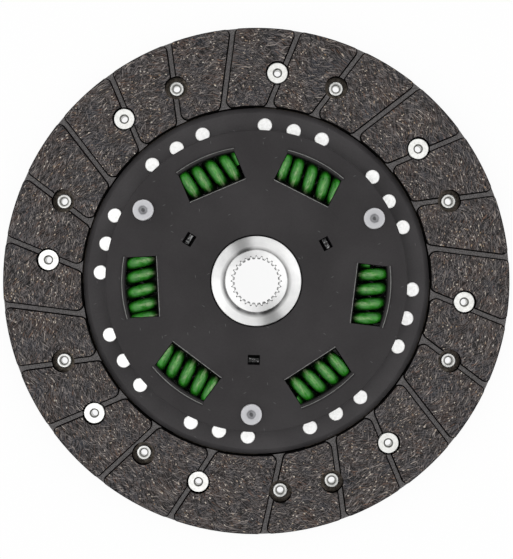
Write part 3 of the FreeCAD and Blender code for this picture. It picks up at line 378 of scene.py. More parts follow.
def phosphated_steel():
    # Stamped steel, black phosphated and oiled: an even, nearly black grey with a fine grain,
    # painted black as shade on the cut edges under the window lips, and bare bright steel along
    # their crests, where the coat has rubbed off.
    material, tree, place = new_material("black_phosphated_steel")
    xyz = add(tree, "ShaderNodeSeparateXYZ", {0: place})
    grain = add(
        tree, "ShaderNodeTexNoise",
        {"Vector": place, "Scale": 1.4, "Detail": 4.0, "Roughness": 0.6})
    cloud = add(tree, "ShaderNodeTexNoise", {"Vector": place, "Scale": 0.045, "Detail": 3.0})
    tone = add(tree, "ShaderNodeMath", {0: grain, 1: 0.5, 2: cloud}, operation="MULTIPLY_ADD")
    coat = add(
        tree, "ShaderNodeMapRange", {"Value": tone, "From Min": 0.5, "From Max": 1.0})
    # The drive plate is painted lighter and the cover darker, against the shade that the cover
    # casts on the drive plate
    darkened_cover_tone = add(
        tree, "ShaderNodeMix", {0: coat, 6: linear("#2e2c2d"), 7: linear("#3a3839")},
        data_type="RGBA")
    lightened_drive_tone = add(
        tree, "ShaderNodeMix", {0: coat, 6: linear("#393738"), 7: linear("#484647")},
        data_type="RGBA")
    on_cover = add(
        tree, "ShaderNodeMath", {0: (xyz, 2), 1: DRIVE_PLATE_TOP + 1.0}, operation="GREATER_THAN")
    coat_tone = add(
        tree, "ShaderNodeMix", {0: on_cover, 6: (lightened_drive_tone, 2), 7: (darkened_cover_tone, 2)},
        data_type="RGBA")

    # A few hair-fine scratches, drawn 0.2 mm wide so that they show
    scratched = (coat_tone, 2)
    for number, turn in enumerate((0.4, 1.7, 2.6)):
        lay = add(
            tree, "ShaderNodeMapping",
            {"Vector": place, "Location": (13.0 * number, 7.0 * number, 0.0),
             "Rotation": (0.0, 0.0, turn), "Scale": (26.0, 6.0, 20.0)},
            vector_type="TEXTURE")
        cells = add(
            tree, "ShaderNodeTexVoronoi", {"Vector": lay, "Scale": 1.0}, voronoi_dimensions="2D")
        draw = add(tree, "ShaderNodeSeparateColor", {0: (cells, "Color")})
        line = add(
            tree, "ShaderNodeMapRange", {"Value": cells, "From Min": 0.035, "From Max": 0.01})
        chosen = add(tree, "ShaderNodeMath", {0: (draw, 0), 1: 0.3}, operation="LESS_THAN")
        shown = add(tree, "ShaderNodeMath", {0: line, 1: chosen}, operation="MULTIPLY")
        fainter = add(tree, "ShaderNodeMath", {0: shown, 1: 0.25}, operation="MULTIPLY")
        layered = add(
            tree, "ShaderNodeMix", {0: fainter, 6: scratched, 7: linear("#8f8e8f")},
            data_type="RGBA")
        scratched = (layered, 2)

    # Rubbed crests: the outer lips' crests stand higher than the inner lips', and are rubbed
    # further down
    outer_rub = 0.11
    inner_rub = 0.05
    radius = from_axis(tree, xyz)
    inner = add(
        tree, "ShaderNodeMath", {0: radius, 1: INNER_LIPS_WITHIN}, operation="LESS_THAN")
    crest = add(
        tree, "ShaderNodeMath",
        {0: inner, 1: INNER_CREST - OUTER_CREST, 2: OUTER_CREST}, operation="MULTIPLY_ADD")
    under_crest = add(tree, "ShaderNodeMath", {0: crest, 1: (xyz, 2)}, operation="SUBTRACT")
    depth = add(
        tree, "ShaderNodeMath", {0: inner, 1: inner_rub - outer_rub, 2: outer_rub},
        operation="MULTIPLY_ADD")
    broken = add(tree, "ShaderNodeTexNoise", {"Vector": place, "Scale": 0.6, "Detail": 3.0})
    depth_here = add(
        tree, "ShaderNodeMath", {0: broken, 1: 0.2, 2: depth}, operation="MULTIPLY_ADD")
    bare_depth = add(tree, "ShaderNodeMath", {0: depth_here, 1: 0.07}, operation="SUBTRACT")
    rubbed = add(
        tree, "ShaderNodeMath", {0: under_crest, 1: bare_depth}, operation="LESS_THAN")
    # Below the lips, the cut edges round the windows are painted black as shade
    facet = add(tree, "ShaderNodeNewGeometry")
    slope = add(tree, "ShaderNodeSeparateXYZ", {0: (facet, "True Normal")})
    sloped = add(tree, "ShaderNodeMath", {0: (slope, 2), 1: STEEP}, operation="LESS_THAN")
    cut_edge = add(
        tree, "ShaderNodeMapRange",
        {"Value": (xyz, 2), "From Min": COVER_TOP + 0.3, "From Max": COVER_TOP - 0.2})
    by_window = add(
        tree, "ShaderNodeMath", {0: radius, 1: WINDOWS_WITHIN}, operation="LESS_THAN")
    window_edge = add(tree, "ShaderNodeMath", {0: on_cover, 1: by_window}, operation="MULTIPLY")
    shadowed = add(tree, "ShaderNodeMath", {0: window_edge, 1: sloped}, operation="MULTIPLY")
    painted_black_share = add(tree, "ShaderNodeMath", {0: shadowed, 1: cut_edge}, operation="MULTIPLY")
    shaded = add(
        tree, "ShaderNodeMix", {0: painted_black_share, 6: scratched, 7: linear("#060606")},
        data_type="RGBA")
    finished = add(
        tree, "ShaderNodeMix", {0: rubbed, 6: (shaded, 2), 7: linear("#9c9c9a")}, data_type="RGBA")
    rough = add(
        tree, "ShaderNodeMapRange", {"Value": tone, "From Min": 0.5, "From Max": 1.0,
                                     "To Min": 0.58, "To Max": 0.68})
    bump = add(tree, "ShaderNodeBump", {"Strength": 0.2, "Distance": 0.03 * MM, "Height": grain})
    close(
        tree, Base_Color=(finished, 2), Metallic=rubbed, Roughness=rough, Normal=bump,
        Specular_IOR_Level=0.15)
    return material


def turned_steel():
    # Forged steel, turned bright on the ring and boss: fine rings that smear each highlight
    # outwards. The broached bore's walls are painted dark grey and dull as shade, and the
    # flange between the plates keeps the dark scale of its heat treatment.
    material, tree, place = new_material("turned_hub_steel")
    xyz = add(tree, "ShaderNodeSeparateXYZ", {0: place})
    radius = from_axis(tree, xyz)
    ring_place = add(tree, "ShaderNodeCombineXYZ", {0: radius, 1: (xyz, 2)})
    # Turning marks, drawn about 0.5 mm apart so that they show
    rings = add(
        tree, "ShaderNodeTexNoise",
        {"Vector": ring_place, "Scale": 2.0, "Detail": 3.0, "Roughness": 0.7})
    blotches = add(tree, "ShaderNodeTexNoise", {"Vector": place, "Scale": 0.25, "Detail": 4.0})
    bright = add(tree, "ShaderNodeMath", {0: rings, 1: 0.6, 2: blotches}, operation="MULTIPLY_ADD")
    bright_share = add(
        tree, "ShaderNodeMapRange", {"Value": bright, "From Min": 0.5, "From Max": 1.1})
    steel = add(
        tree, "ShaderNodeMix", {0: bright_share, 6: linear("#e4e4e4"), 7: linear("#f6f6f5")},
        data_type="RGBA")
    # Painted shade in the corner at the foot of the boss, reaching further out on one side
    shade_lean_bearing = math.radians(245.0)
    towards = add(
        tree, "ShaderNodeVectorMath",
        {0: place, 1: (math.cos(shade_lean_bearing), math.sin(shade_lean_bearing), 0.0)},
        operation="DOT_PRODUCT")
    lean = add(
        tree, "ShaderNodeMath", {0: (towards, "Value"), 1: radius}, operation="DIVIDE")
    reach = add(
        tree, "ShaderNodeMath", {0: lean, 1: -0.4, 2: radius}, operation="MULTIPLY_ADD")
    foot = add(
        tree, "ShaderNodeMapRange",
        {"Value": reach, "From Min": BOSS_RADIUS + 2.3, "From Max": BOSS_RADIUS + 0.7})
    off_wall = add(
        tree, "ShaderNodeMath", {0: radius, 1: BOSS_RADIUS + 0.05},
        operation="GREATER_THAN")
    corner = add(tree, "ShaderNodeMath", {0: foot, 1: off_wall}, operation="MULTIPLY")
    streaks = add(
        tree, "ShaderNodeMath", {0: blotches, 1: 0.7, 2: 0.35}, operation="MULTIPLY_ADD")
    corner_shade = add(tree, "ShaderNodeMath", {0: lean, 1: 0.12, 2: streaks}, operation="MULTIPLY_ADD")
    corner_shade_share = add(
        tree, "ShaderNodeMath", {0: corner, 1: corner_shade}, operation="MULTIPLY", use_clamp=True)
    corner_shaded = add(
        tree, "ShaderNodeMix", {0: corner_shade_share, 6: (steel, 2), 7: linear("#2b2a2c")},
        data_type="RGBA")
    scale_tone = add(
        tree, "ShaderNodeMix", {0: blotches, 6: linear("#2a2829"), 7: linear("#47434a")},
        data_type="RGBA")
    scaled = add(
        tree, "ShaderNodeMath", {0: radius, 1: HUB_RING_RADIUS + 0.05},
        operation="GREATER_THAN")
    outside = add(
        tree, "ShaderNodeMix", {0: scaled, 6: (corner_shaded, 2), 7: (scale_tone, 2)}, data_type="RGBA")
    # The bore's upright walls are painted dark grey and dull as shade
    in_bore = add(
        tree, "ShaderNodeMath", {0: radius, 1: SPLINE_ROOT_RADIUS + 0.1},
        operation="LESS_THAN")
    level = face_level(tree)
    upright = add(tree, "ShaderNodeMath", {0: level, 1: 0.3}, operation="LESS_THAN")
    shaded_bore_wall = add(tree, "ShaderNodeMath", {0: in_bore, 1: upright}, operation="MULTIPLY")
    finished = add(
        tree, "ShaderNodeMix", {0: shaded_bore_wall, 6: (outside, 2), 7: linear("#454548")},
        data_type="RGBA")
    polish = add(
        tree, "ShaderNodeMapRange",
        {"Value": rings, "From Min": 0.3, "From Max": 0.7, "To Min": 0.33, "To Max": 0.38})
    rough = add(
        tree, "ShaderNodeMix", {0: scaled, 2: polish, 3: 0.6}, data_type="FLOAT")
    # The boss's end face is ground, so it smears highlights less
    ring_share = add(
        tree, "ShaderNodeMath", {0: radius, 1: BOSS_RADIUS + 0.05},
        operation="GREATER_THAN")
    smear = add(
        tree, "ShaderNodeMix", {0: ring_share, 2: 0.75, 3: 1.0}, data_type="FLOAT")
    metal = add(tree, "ShaderNodeMath", {0: 1.0, 1: shaded_bore_wall}, operation="SUBTRACT")
    around = add(tree, "ShaderNodeTangent", direction_type="RADIAL", axis="Z")
    bump = add(tree, "ShaderNodeBump", {"Strength": 0.08, "Distance": 0.02 * MM, "Height": rings})
    close(
        tree, Base_Color=(finished, 2), Metallic=metal, Roughness=rough, Normal=bump,
        Anisotropic=smear, Anisotropic_Rotation=0.25, Tangent=around)
    return material


def plated_steel(name, dark, pale, roughness):
    """Plated or tempered steel, one material for each. A tubular rivet's own attribute marks
    where grey is painted on as shade: in its mouth and on the inner side of its roll."""
    material, tree, place = new_material(name)
    spots = add(
        tree, "ShaderNodeTexNoise",
        {"Vector": place, "Scale": 0.9, "Detail": 4.0, "Roughness": 0.6})
    share = add(tree, "ShaderNodeMapRange", {"Value": spots, "From Min": 0.35, "From Max": 0.6})
    tone = add(
        tree, "ShaderNodeMix", {0: share, 6: linear(dark), 7: linear(pale)}, data_type="RGBA")
    # Grey painted on as shade, where a tubular rivet's attribute asks for it
    rivet_shade = add(tree, "ShaderNodeAttribute", attribute_name="rivet_shade")
    finished = add(
        tree, "ShaderNodeMix", {0: (rivet_shade, "Fac"), 6: (tone, 2), 7: linear("#70706c")},
        data_type="RGBA")
    rough = add(
        tree, "ShaderNodeMapRange",
        {"Value": spots, "From Min": 0.3, "From Max": 0.7,
         "To Min": roughness + 0.08, "To Max": roughness - 0.05})
    bump = add(tree, "ShaderNodeBump", {"Strength": 0.15, "Distance": 0.03 * MM, "Height": spots})
    close(tree, Base_Color=(finished, 2), Metallic=1.0, Roughness=rough, Normal=bump)
    return material


def zinc_plate():
    # Zinc-plated mild steel, clear passivated: nearly white, softly bright, a little cloudy
    return plated_steel("zinc_plated_steel", "#e6e6e2", "#f8f8f5", 0.38)


def rivet_steel():
    # Zinc-plated cold-headed steel: white and satin, with grey blotches from setting
    return plated_steel("set_rivet_steel", "#efefed", "#fdfdfc", 0.36)


def tempered_spring_steel():
    # Hardened and tempered strip: oil-brown, smooth and dark
    return plated_steel("tempered_spring_steel", "#35312c", "#57514a", 0.45)


def pin_steel():
    # Riveted-over steel pins, bare satin steel, painted in rings about each pin's centre: a bright
    # rim as a painted highlight, a grey flat and a dark cup as painted shade, which all three pins
    # share: each pin's place is turned onto the first one's.
    material, tree, place = new_material("satin_pin_steel")
    xyz = add(tree, "ShaderNodeSeparateXYZ", {0: place})
    angle = add(tree, "ShaderNodeMath", {0: (xyz, 1), 1: (xyz, 0)}, operation="ARCTAN2")
    from_pin = add(
        tree, "ShaderNodeMath", {0: angle, 1: math.radians(PIN_ANGLE)}, operation="SUBTRACT")
    half_pitch = math.radians(PIN_PITCH / 2)
    folded = add(
        tree, "ShaderNodeMath", {0: from_pin, 1: -half_pitch, 2: half_pitch}, operation="WRAP")
    radius = from_axis(tree, xyz)
    cosine = add(tree, "ShaderNodeMath", {0: folded}, operation="COSINE")
    sine = add(tree, "ShaderNodeMath", {0: folded}, operation="SINE")
    outward = add(
        tree, "ShaderNodeMath", {0: radius, 1: cosine, 2: -PIN_CIRCLE},
        operation="MULTIPLY_ADD")
    across = add(tree, "ShaderNodeMath", {0: radius, 1: sine}, operation="MULTIPLY")
    from_centre = add(tree, "ShaderNodeCombineXYZ", {0: outward, 1: across})
    distance = add(tree, "ShaderNodeVectorMath", {0: from_centre}, operation="LENGTH")
    spots = add(
        tree, "ShaderNodeTexNoise",
        {"Vector": place, "Scale": 1.0, "Detail": 4.0, "Roughness": 0.6})
    ragged = add(
        tree, "ShaderNodeMath", {0: spots, 1: 0.8, 2: (distance, "Value")},
        operation="MULTIPLY_ADD")
    share = add(
        tree, "ShaderNodeMapRange", {"Value": ragged, "From Min": 0.4, "From Max": 5.1})
    painted_rings = add(tree, "ShaderNodeValToRGB", {0: share})
    ramp = painted_rings.color_ramp
    # From the cup over the flat to the rim
    ramp.elements[0].position, ramp.elements[0].color = 0.06, linear("#5e5e60")
    ramp.elements[1].position, ramp.elements[1].color = 1.0, linear("#d6d6d8")
    for position, shade in ((0.16, "#666668"), (0.22, "#8e8e91"), (0.38, "#808083"),
                            (0.48, "#bcbcbf"), (0.84, "#c2c2c5")):
        ramp.elements.new(position).color = linear(shade)
    bump = add(tree, "ShaderNodeBump", {"Strength": 0.15, "Distance": 0.03 * MM, "Height": spots})
    close(tree, Base_Color=painted_rings, Metallic=1.0, Roughness=0.48, Normal=bump)
    return material


def green_lacquer():
    # Spring wire dipped in green lacquer: glossy green on top of each coil, painted nearly black
    # as shade down its flanks and between the coils, with a painted pale highlight along the
    # wire's crest. The wire's own attribute tells how far below the coil's crest a place is, in
    # millimetres.
    material, tree, place = new_material("green_lacquered_wire")
    xyz = add(tree, "ShaderNodeSeparateXYZ", {0: place})
    drawn = add(
        tree, "ShaderNodeTexNoise",
        {"Vector": place, "Scale": 0.5, "Detail": 5.0, "Roughness": 0.6})
    share = add(tree, "ShaderNodeMapRange", {"Value": drawn, "From Min": 0.3, "From Max": 0.7})
    lacquer = add(
        tree, "ShaderNodeMix", {0: share, 6: linear("#1a6d12"), 7: linear("#2e9320")},
        data_type="RGBA")
    # Painted shade: full green down to 1 mm below the top of the spring, painted dark from 3.8 mm
    # down
    from_middle = add(
        tree, "ShaderNodeMath", {0: (xyz, 2), 1: SPRING_LEVEL}, operation="SUBTRACT")
    half_way = add(tree, "ShaderNodeMath", {0: from_middle}, operation="ABSOLUTE")
    unshaded_top_share = add(
        tree, "ShaderNodeMapRange",
        {"Value": half_way, "From Min": SPRING_RADIUS - 3.8, "From Max": SPRING_RADIUS - 1.0},
        interpolation_type="SMOOTHSTEP")
    topside = add(
        tree, "ShaderNodeMix", {0: unshaded_top_share, 6: linear("#092007"), 7: (lacquer, 2)},
        data_type="RGBA")
    # Painted shade down each coil's flanks, darker further below its crest
    flank = add(tree, "ShaderNodeAttribute", attribute_name="flank")
    down_flank = add(
        tree, "ShaderNodeMath", {0: (flank, "Fac"), 1: WIRE_RADIUS}, operation="DIVIDE")
    flank_shade_curve = add(tree, "ShaderNodeMath", {0: down_flank, 1: 0.5}, operation="POWER")
    flank_shade_share = add(
        tree, "ShaderNodeMath", {0: flank_shade_curve, 1: 0.8}, operation="MULTIPLY", use_clamp=True)
    shaded = add(
        tree, "ShaderNodeMix", {0: flank_shade_share, 6: (topside, 2), 7: linear("#092007")},
        data_type="RGBA")
    # A painted highlight in streaks along the wire, which runs outwards from the disc's axis at
    # the crest of each coil
    angle = add(tree, "ShaderNodeMath", {0: (xyz, 1), 1: (xyz, 0)}, operation="ARCTAN2")
    radius = from_axis(tree, xyz)
    across = add(
        tree, "ShaderNodeMath", {0: angle, 1: SPRING_CIRCLE * 1.3}, operation="MULTIPLY")
    along = add(tree, "ShaderNodeMath", {0: radius, 1: 0.4}, operation="MULTIPLY")
    wire_place = add(tree, "ShaderNodeCombineXYZ", {0: across, 1: along})
    streak_noise = add(
        tree, "ShaderNodeTexNoise",
        {"Vector": wire_place, "Scale": 1.0, "Detail": 3.0, "Roughness": 0.65})
    highlight_streaks = add(tree, "ShaderNodeMapRange", {"Value": streak_noise, "From Min": 0.36, "From Max": 0.66})
    ridge = add(
        tree, "ShaderNodeMapRange", {"Value": (flank, "Fac"), "From Min": 0.22, "From Max": 0.0})
    inwards = add(
        tree, "ShaderNodeMapRange",
        {"Value": radius, "From Min": SPRING_CIRCLE + 5.5,
         "From Max": SPRING_CIRCLE - 0.5},
        interpolation_type="SMOOTHSTEP")
    top_ridge = add(tree, "ShaderNodeMath", {0: ridge, 1: inwards}, operation="MULTIPLY")
    painted_highlight = add(tree, "ShaderNodeMath", {0: highlight_streaks, 1: top_ridge}, operation="MULTIPLY")
    painted_highlight_share = add(tree, "ShaderNodeMath", {0: painted_highlight, 1: 0.5}, operation="MULTIPLY")
    finished = add(
        tree, "ShaderNodeMix", {0: painted_highlight_share, 6: (shaded, 2), 7: linear("#b6c49a")},
        data_type="RGBA")
    rough = add(
        tree, "ShaderNodeMapRange", {"Value": drawn, "From Min": 0.3, "From Max": 0.7,
                                     "To Min": 0.24, "To Max": 0.38})
    bump = add(tree, "ShaderNodeBump", {"Strength": 0.2, "Distance": 0.06 * MM, "Height": streak_noise})
    close(tree, Base_Color=(finished, 2), Roughness=rough, Normal=bump, Specular_IOR_Level=0.5)
    return material


def friction_ring_plastic():
    # Glass-filled polyamide friction rings: black and dull, painted darker still as the shade in
    # the cover's slots, and on the tops of the tabs that stand in them painted lighter as lit,
    # with pale specks as glints.
    material, tree, place = new_material("glass_filled_polyamide")
    xyz = add(tree, "ShaderNodeSeparateXYZ", {0: place})
    grain = add(
        tree, "ShaderNodeTexNoise",
        {"Vector": place, "Scale": 1.5, "Detail": 3.0, "Roughness": 0.6})
    # The black plastic, painted darker still as the shade in the slots
    black = add(
        tree, "ShaderNodeMix", {0: grain, 6: linear("#030303"), 7: linear("#0a0a0a")},
        data_type="RGBA")
    # The tabs' tops painted lighter as lit, with pale specks as painted glints
    tab_glint_share = add(tree, "ShaderNodeMapRange", {"Value": grain, "From Min": 0.5, "From Max": 0.66})
    rubbed = add(
        tree, "ShaderNodeMix", {0: tab_glint_share, 6: linear("#2c2c2c"), 7: linear("#9c9c9c")},
        data_type="RGBA")
    lit_tab_top = add(
        tree, "ShaderNodeMath", {0: (xyz, 2), 1: RING_TAB_TOP - 0.3}, operation="GREATER_THAN")
    finished = add(
        tree, "ShaderNodeMix", {0: lit_tab_top, 6: (black, 2), 7: (rubbed, 2)}, data_type="RGBA")
    bump = add(tree, "ShaderNodeBump", {"Strength": 0.3, "Distance": 0.08 * MM, "Height": grain})
    close(tree, Base_Color=(finished, 2), Roughness=0.6, Normal=bump, Specular_IOR_Level=0.05)
    return material


def bush_plastic():
    # Natural polyamide centring bush, moulded: warm ivory-brown, satin
    material, tree, place = new_material("natural_polyamide")
    grain = add(
        tree, "ShaderNodeTexNoise",
        {"Vector": place, "Scale": 1.2, "Detail": 4.0, "Roughness": 0.6})
    tone = add(
        tree, "ShaderNodeMix", {0: grain, 6: linear("#8d8268"), 7: linear("#b3a88c")},
        data_type="RGBA")
    bump = add(tree, "ShaderNodeBump", {"Strength": 0.2, "Distance": 0.04 * MM, "Height": grain})
    close(tree, Base_Color=(tone, 2), Roughness=0.5, Normal=bump, Specular_IOR_Level=0.4)
    return material


FINISHES = {
    "friction_lining": friction_lining(),
    "tubular_rivet": zinc_plate(),
    "solid_rivet": rivet_steel(),
    "black_plate": phosphated_steel(),
    "hub_steel": turned_steel(),
    "friction_ring": friction_ring_plastic(),
    "spring_steel": tempered_spring_steel(),
    "bush_plastic": bush_plastic(),
    "pin_steel": pin_steel(),
    "green_spring": green_lacquer(),
}
for part in frame["record"]["subparts"]:
    slots = frame["nodes"][part["node"]].data.materials
    slots.clear()
    slots.append(FINISHES[part["material_slot"]])


# Pieces that replace a CAD node

def deselect():
    bpy.ops.object.select_all(action="DESELECT")


def finish_mesh(smooth_angle):
    """Merges the open piece's doubles, closes its holes and turns its faces outwards."""
    bpy.ops.mesh.select_all(action="SELECT")
    bpy.ops.mesh.remove_doubles(threshold=0.005 * MM)
    bpy.ops.mesh.select_all(action="DESELECT")
    bpy.ops.mesh.select_mode(type="EDGE")
    bpy.ops.mesh.select_non_manifold()
    bpy.ops.mesh.fill_holes(sides=0)
    bpy.ops.mesh.select_all(action="SELECT")
    bpy.ops.mesh.normals_make_consistent(inside=False)
    bpy.ops.object.mode_set(mode="OBJECT")
    bpy.ops.object.shade_smooth_by_angle(angle=math.radians(smooth_angle))


def turned_piece(section):
    """A piece turned about Z from (radius, height) points, as rings drawn out of the first."""
    deselect()
    radius, height = section[0]
    bpy.ops.mesh.primitive_circle_add(
        vertices=RIVET_FACETS, radius=radius * MM, location=(0, 0, height * MM))
    piece = bpy.context.object
    bpy.ops.object.transform_apply()
    bpy.ops.object.mode_set(mode="EDIT")
    bpy.ops.mesh.select_all(action="SELECT")
    for next_radius, next_height in section[1:]:
        rise = (next_height - height) * MM
        bpy.ops.mesh.extrude_edges_move(TRANSFORM_OT_translate={"value": (0, 0, rise)})
        growth = next_radius / radius
        bpy.ops.transform.resize(
            value=(growth, growth, 1), center_override=(0, 0, next_height * MM))
        radius, height = next_radius, next_height
    finish_mesh(40)
    return piece


def mark(piece, name, value_at):
    """Stores at each of the piece's points what value_at makes of its distance from Z and
    its height."""
    marks = piece.data.attributes.new(name, "FLOAT", "POINT")
    marks.data.foreach_set("value", [
        float(value_at(vertex.co.xy.length / MM, vertex.co.z / MM))
        for vertex in piece.data.vertices])


def rivet_shade_share(radius, height):
    """The share of painted grey shade on a tubular rivet: much in the mouth and on the inner
    side of the roll, a little on the roll's outer side."""
    deep_shade_share, bright_share = 0.85, 0.12
    if height > 0:
        return deep_shade_share if radius < TUBE_MOUTH_RADIUS + 0.05 else 0.0
    if height > -TUBE_GRIP:
        return 0.0
    return max(bright_share, min(deep_shade_share, (TUBE_SHADE_RADIUS - radius) / 0.4))


def rivet_row(name, pattern, placements, node, slot):
    """Copies a rivet to each placement and joins the copies, in place of the CAD node."""
    deselect()
    for placement in placements:
        copy = bpy.data.objects.new(name, pattern.data.copy())
        bpy.context.scene.collection.objects.link(copy)
        copy.data.transform(placement)
        copy.select_set(True)
        bpy.context.view_layer.objects.active = copy
    bpy.ops.object.join()
    row = bpy.context.object
    row.name = name
    row.data.materials.append(FINISHES[slot])
    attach(row, "lined_plates")
    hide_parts(node)


def at(angle, circle, level):
    """The placement that stands a piece on a circle about the disc's axis."""
    return Matrix.Rotation(math.radians(angle), 4, "Z") @ Matrix.Translation(
        Vector((circle, 0, level)) * MM)


def even_row(start, count):
    """The angle and circle of each rivet in a facing's even row."""
    return [(start + SEGMENT_PITCH * number, FACING_RIVET_CIRCLE) for number in range(count)]


# Tubular rivet: headed end up, its seat at height zero, its far end rolled over
roll_middle = (TUBE_BORE_RADIUS + TUBE_ROLL_RADIUS) / 2
roll_radius = (TUBE_ROLL_RADIUS - TUBE_BORE_RADIUS) / 2
roll_start = TUBE_GRIP + TUBE_ROLL_HEIGHT - roll_radius


def roll_point(turn):
    """A point of the rolled edge, fuller than a round one: the punch flattened it."""
    side = math.copysign(abs(math.cos(turn)) ** TUBE_ROLL_FULLNESS, math.cos(turn))
    rise = math.sin(turn) ** TUBE_ROLL_FULLNESS
    return roll_middle - roll_radius * side, -roll_start - roll_radius * rise


roll = [
    roll_point(math.pi * (step + 0.5) / (TUBE_ROLL_STEPS + 1))
    for step in range(TUBE_ROLL_STEPS + 1)
]
tube_section = [
    (TUBE_SHANK_RADIUS, 0.0),
    (TUBE_HEAD_RADIUS, 0.0),
    (TUBE_HEAD_RADIUS, TUBE_HEAD_HEIGHT - TUBE_EDGE),
    (TUBE_HEAD_RADIUS - TUBE_EDGE, TUBE_HEAD_HEIGHT),
    (TUBE_MOUTH_RADIUS + 0.15, TUBE_HEAD_HEIGHT),
    (TUBE_MOUTH_RADIUS, TUBE_HEAD_HEIGHT),
    (TUBE_BORE_RADIUS, TUBE_HEAD_HEIGHT - (TUBE_MOUTH_RADIUS - TUBE_BORE_RADIUS)),
    (TUBE_BORE_RADIUS, 0.0),
    (TUBE_BORE_RADIUS, -roll_start),
    *roll,
    (TUBE_ROLL_RADIUS, -TUBE_GRIP),
    (TUBE_SHANK_RADIUS, -TUBE_GRIP),
    (TUBE_SHANK_RADIUS, 0.0),
]
tubular_rivet = turned_piece(tube_section)
mark(tubular_rivet, "rivet_shade", rivet_shade_share)
turned_over = Matrix.Rotation(math.pi, 4, "X")
rivet_row(
    "front_facing_rivet_row", tubular_rivet,
    [at(angle, circle, FRONT_RECESS_FLOOR)
     for angle, circle in even_row(*FRONT_RIVET_ROW) + FRONT_RIVETS_OFF_ROW],
    "front_facing_rivets", "tubular_rivet")
rivet_row(
    "rear_facing_rivet_row", tubular_rivet,
    [at(angle, circle, REAR_RECESS_FLOOR) @ turned_over
     for angle, circle in even_row(*REAR_RIVET_ROW) + REAR_RIVETS_OFF_ROW],
    "rear_facing_rivets", "tubular_rivet")
bpy.data.objects.remove(tubular_rivet)

# Solid rivet: its tail under the segment's foot, its head on the drive plate
foot_base = DRIVE_PLATE_BASE - SEGMENT_THICKNESS
tail_base = foot_base - SOLID_TAIL_HEIGHT
head_top = DRIVE_PLATE_TOP + SOLID_HEAD_HEIGHT
solid_rivet = turned_piece([
    (SOLID_TAIL_RADIUS / 2, tail_base),
    (SOLID_TAIL_RADIUS - SOLID_EDGE, tail_base),
    (SOLID_TAIL_RADIUS, tail_base + SOLID_EDGE),
    (SOLID_TAIL_RADIUS, foot_base),
    (SOLID_SHANK_RADIUS, foot_base),
    (SOLID_SHANK_RADIUS, DRIVE_PLATE_TOP),
    (SOLID_HEAD_RADIUS, DRIVE_PLATE_TOP),
    (SOLID_HEAD_RADIUS, head_top - SOLID_EDGE),
    (SOLID_HEAD_RADIUS - SOLID_EDGE, head_top),
    (SOLID_HEAD_RADIUS / 2, head_top),
])
rivet_row(
    "segment_rivet_row", solid_rivet,
    [at(SEGMENT_ANGLE + SEGMENT_PITCH * number + turn, circle, 0.0)
     for number in range(SEGMENT_COUNT) for turn, circle in SEGMENT_RIVETS],
    "segment_rivets", "solid_rivet")
bpy.data.objects.remove(solid_rivet)


def stretch_of_wire(turns, pitch, start_turns, start_height):
    """A stretch of round wire wound about Z."""
    deselect()
    start = 2 * math.pi * start_turns
    bpy.ops.mesh.primitive_circle_add(
        vertices=WIRE_FACETS, radius=WIRE_RADIUS * MM,
        location=(COIL_RADIUS * MM * math.cos(start), COIL_RADIUS * MM * math.sin(start),
                  start_height * MM),
        rotation=(math.pi / 2, 0.0, start))
    wire = bpy.context.object
    bpy.ops.object.transform_apply()
    screw = wire.modifiers.new("Winding", "SCREW")
    screw.axis = "Z"
    screw.angle = 2 * math.pi * turns
    screw.screw_offset = pitch * turns * MM
    screw.steps = screw.render_steps = round(COIL_FACETS * turns)
    screw.use_merge_vertices = False
    bpy.ops.object.modifier_apply(modifier=screw.name)
    return wire


def wound_spring():
    """One spring about Z: closed, open and closed turns in one wire, with its ends ground.
    Also the turns from the first end to the middle."""
    closed_height = CLOSED_TURNS * CLOSED_PITCH
    open_turns = (SPRING_LENGTH - 2 * closed_height) / COIL_PITCH
    half = SPRING_LENGTH / 2
    end_turns = TIP_TURNS + CLOSED_TURNS
    stretches = [
        stretch_of_wire(end_turns, CLOSED_PITCH, -TIP_TURNS, -half - TIP_TURNS * CLOSED_PITCH),
        stretch_of_wire(open_turns, COIL_PITCH, CLOSED_TURNS, closed_height - half),
        stretch_of_wire(end_turns, CLOSED_PITCH, CLOSED_TURNS + open_turns, half - closed_height),
    ]
    deselect()
    for stretch in stretches:
        stretch.select_set(True)
    bpy.context.view_layer.objects.active = stretches[0]
    bpy.ops.object.join()
    spring = bpy.context.object
    bpy.ops.object.mode_set(mode="EDIT")
    bpy.ops.mesh.select_all(action="SELECT")
    bpy.ops.mesh.remove_doubles(threshold=0.01 * MM)
    bpy.ops.mesh.select_all(action="DESELECT")
    bpy.ops.mesh.select_mode(type="EDGE")
    bpy.ops.mesh.select_non_manifold()
    bpy.ops.mesh.fill_holes(sides=0)
    for end in (-1, 1):
        bpy.ops.mesh.select_all(action="SELECT")
        bpy.ops.mesh.bisect(
            plane_co=(0, 0, end * half * MM), plane_no=(0, 0, end), use_fill=True,
            clear_outer=True)
    finish_mesh(40)
    return spring, CLOSED_TURNS + open_turns / 2


pattern_spring, middle_turns = wound_spring()
mark(pattern_spring, "flank", lambda radius, height: SPRING_RADIUS - radius)
for number, (window, crest) in SPRINGS.items():
    spring = bpy.data.objects.new(f"lacquered_spring_{number}", pattern_spring.data.copy())
    bpy.context.scene.collection.objects.link(spring)
    roll_angle = math.radians(-90 - 360 * middle_turns - 360 * crest / COIL_PITCH)
    middle = at(window, SPRING_CIRCLE, SPRING_LEVEL)
    spring.data.transform(
        middle
        @ Matrix.Rotation(-math.pi / 2, 4, "X")
        @ Matrix.Rotation(roll_angle, 4, "Z"))
    spring.data.materials.append(FINISHES["green_spring"])
    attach(spring, "lined_plates")
    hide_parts(f"torsion_spring_{number}")
    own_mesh(spring)
bpy.data.objects.remove(pattern_spring)


# Floor, light and camera

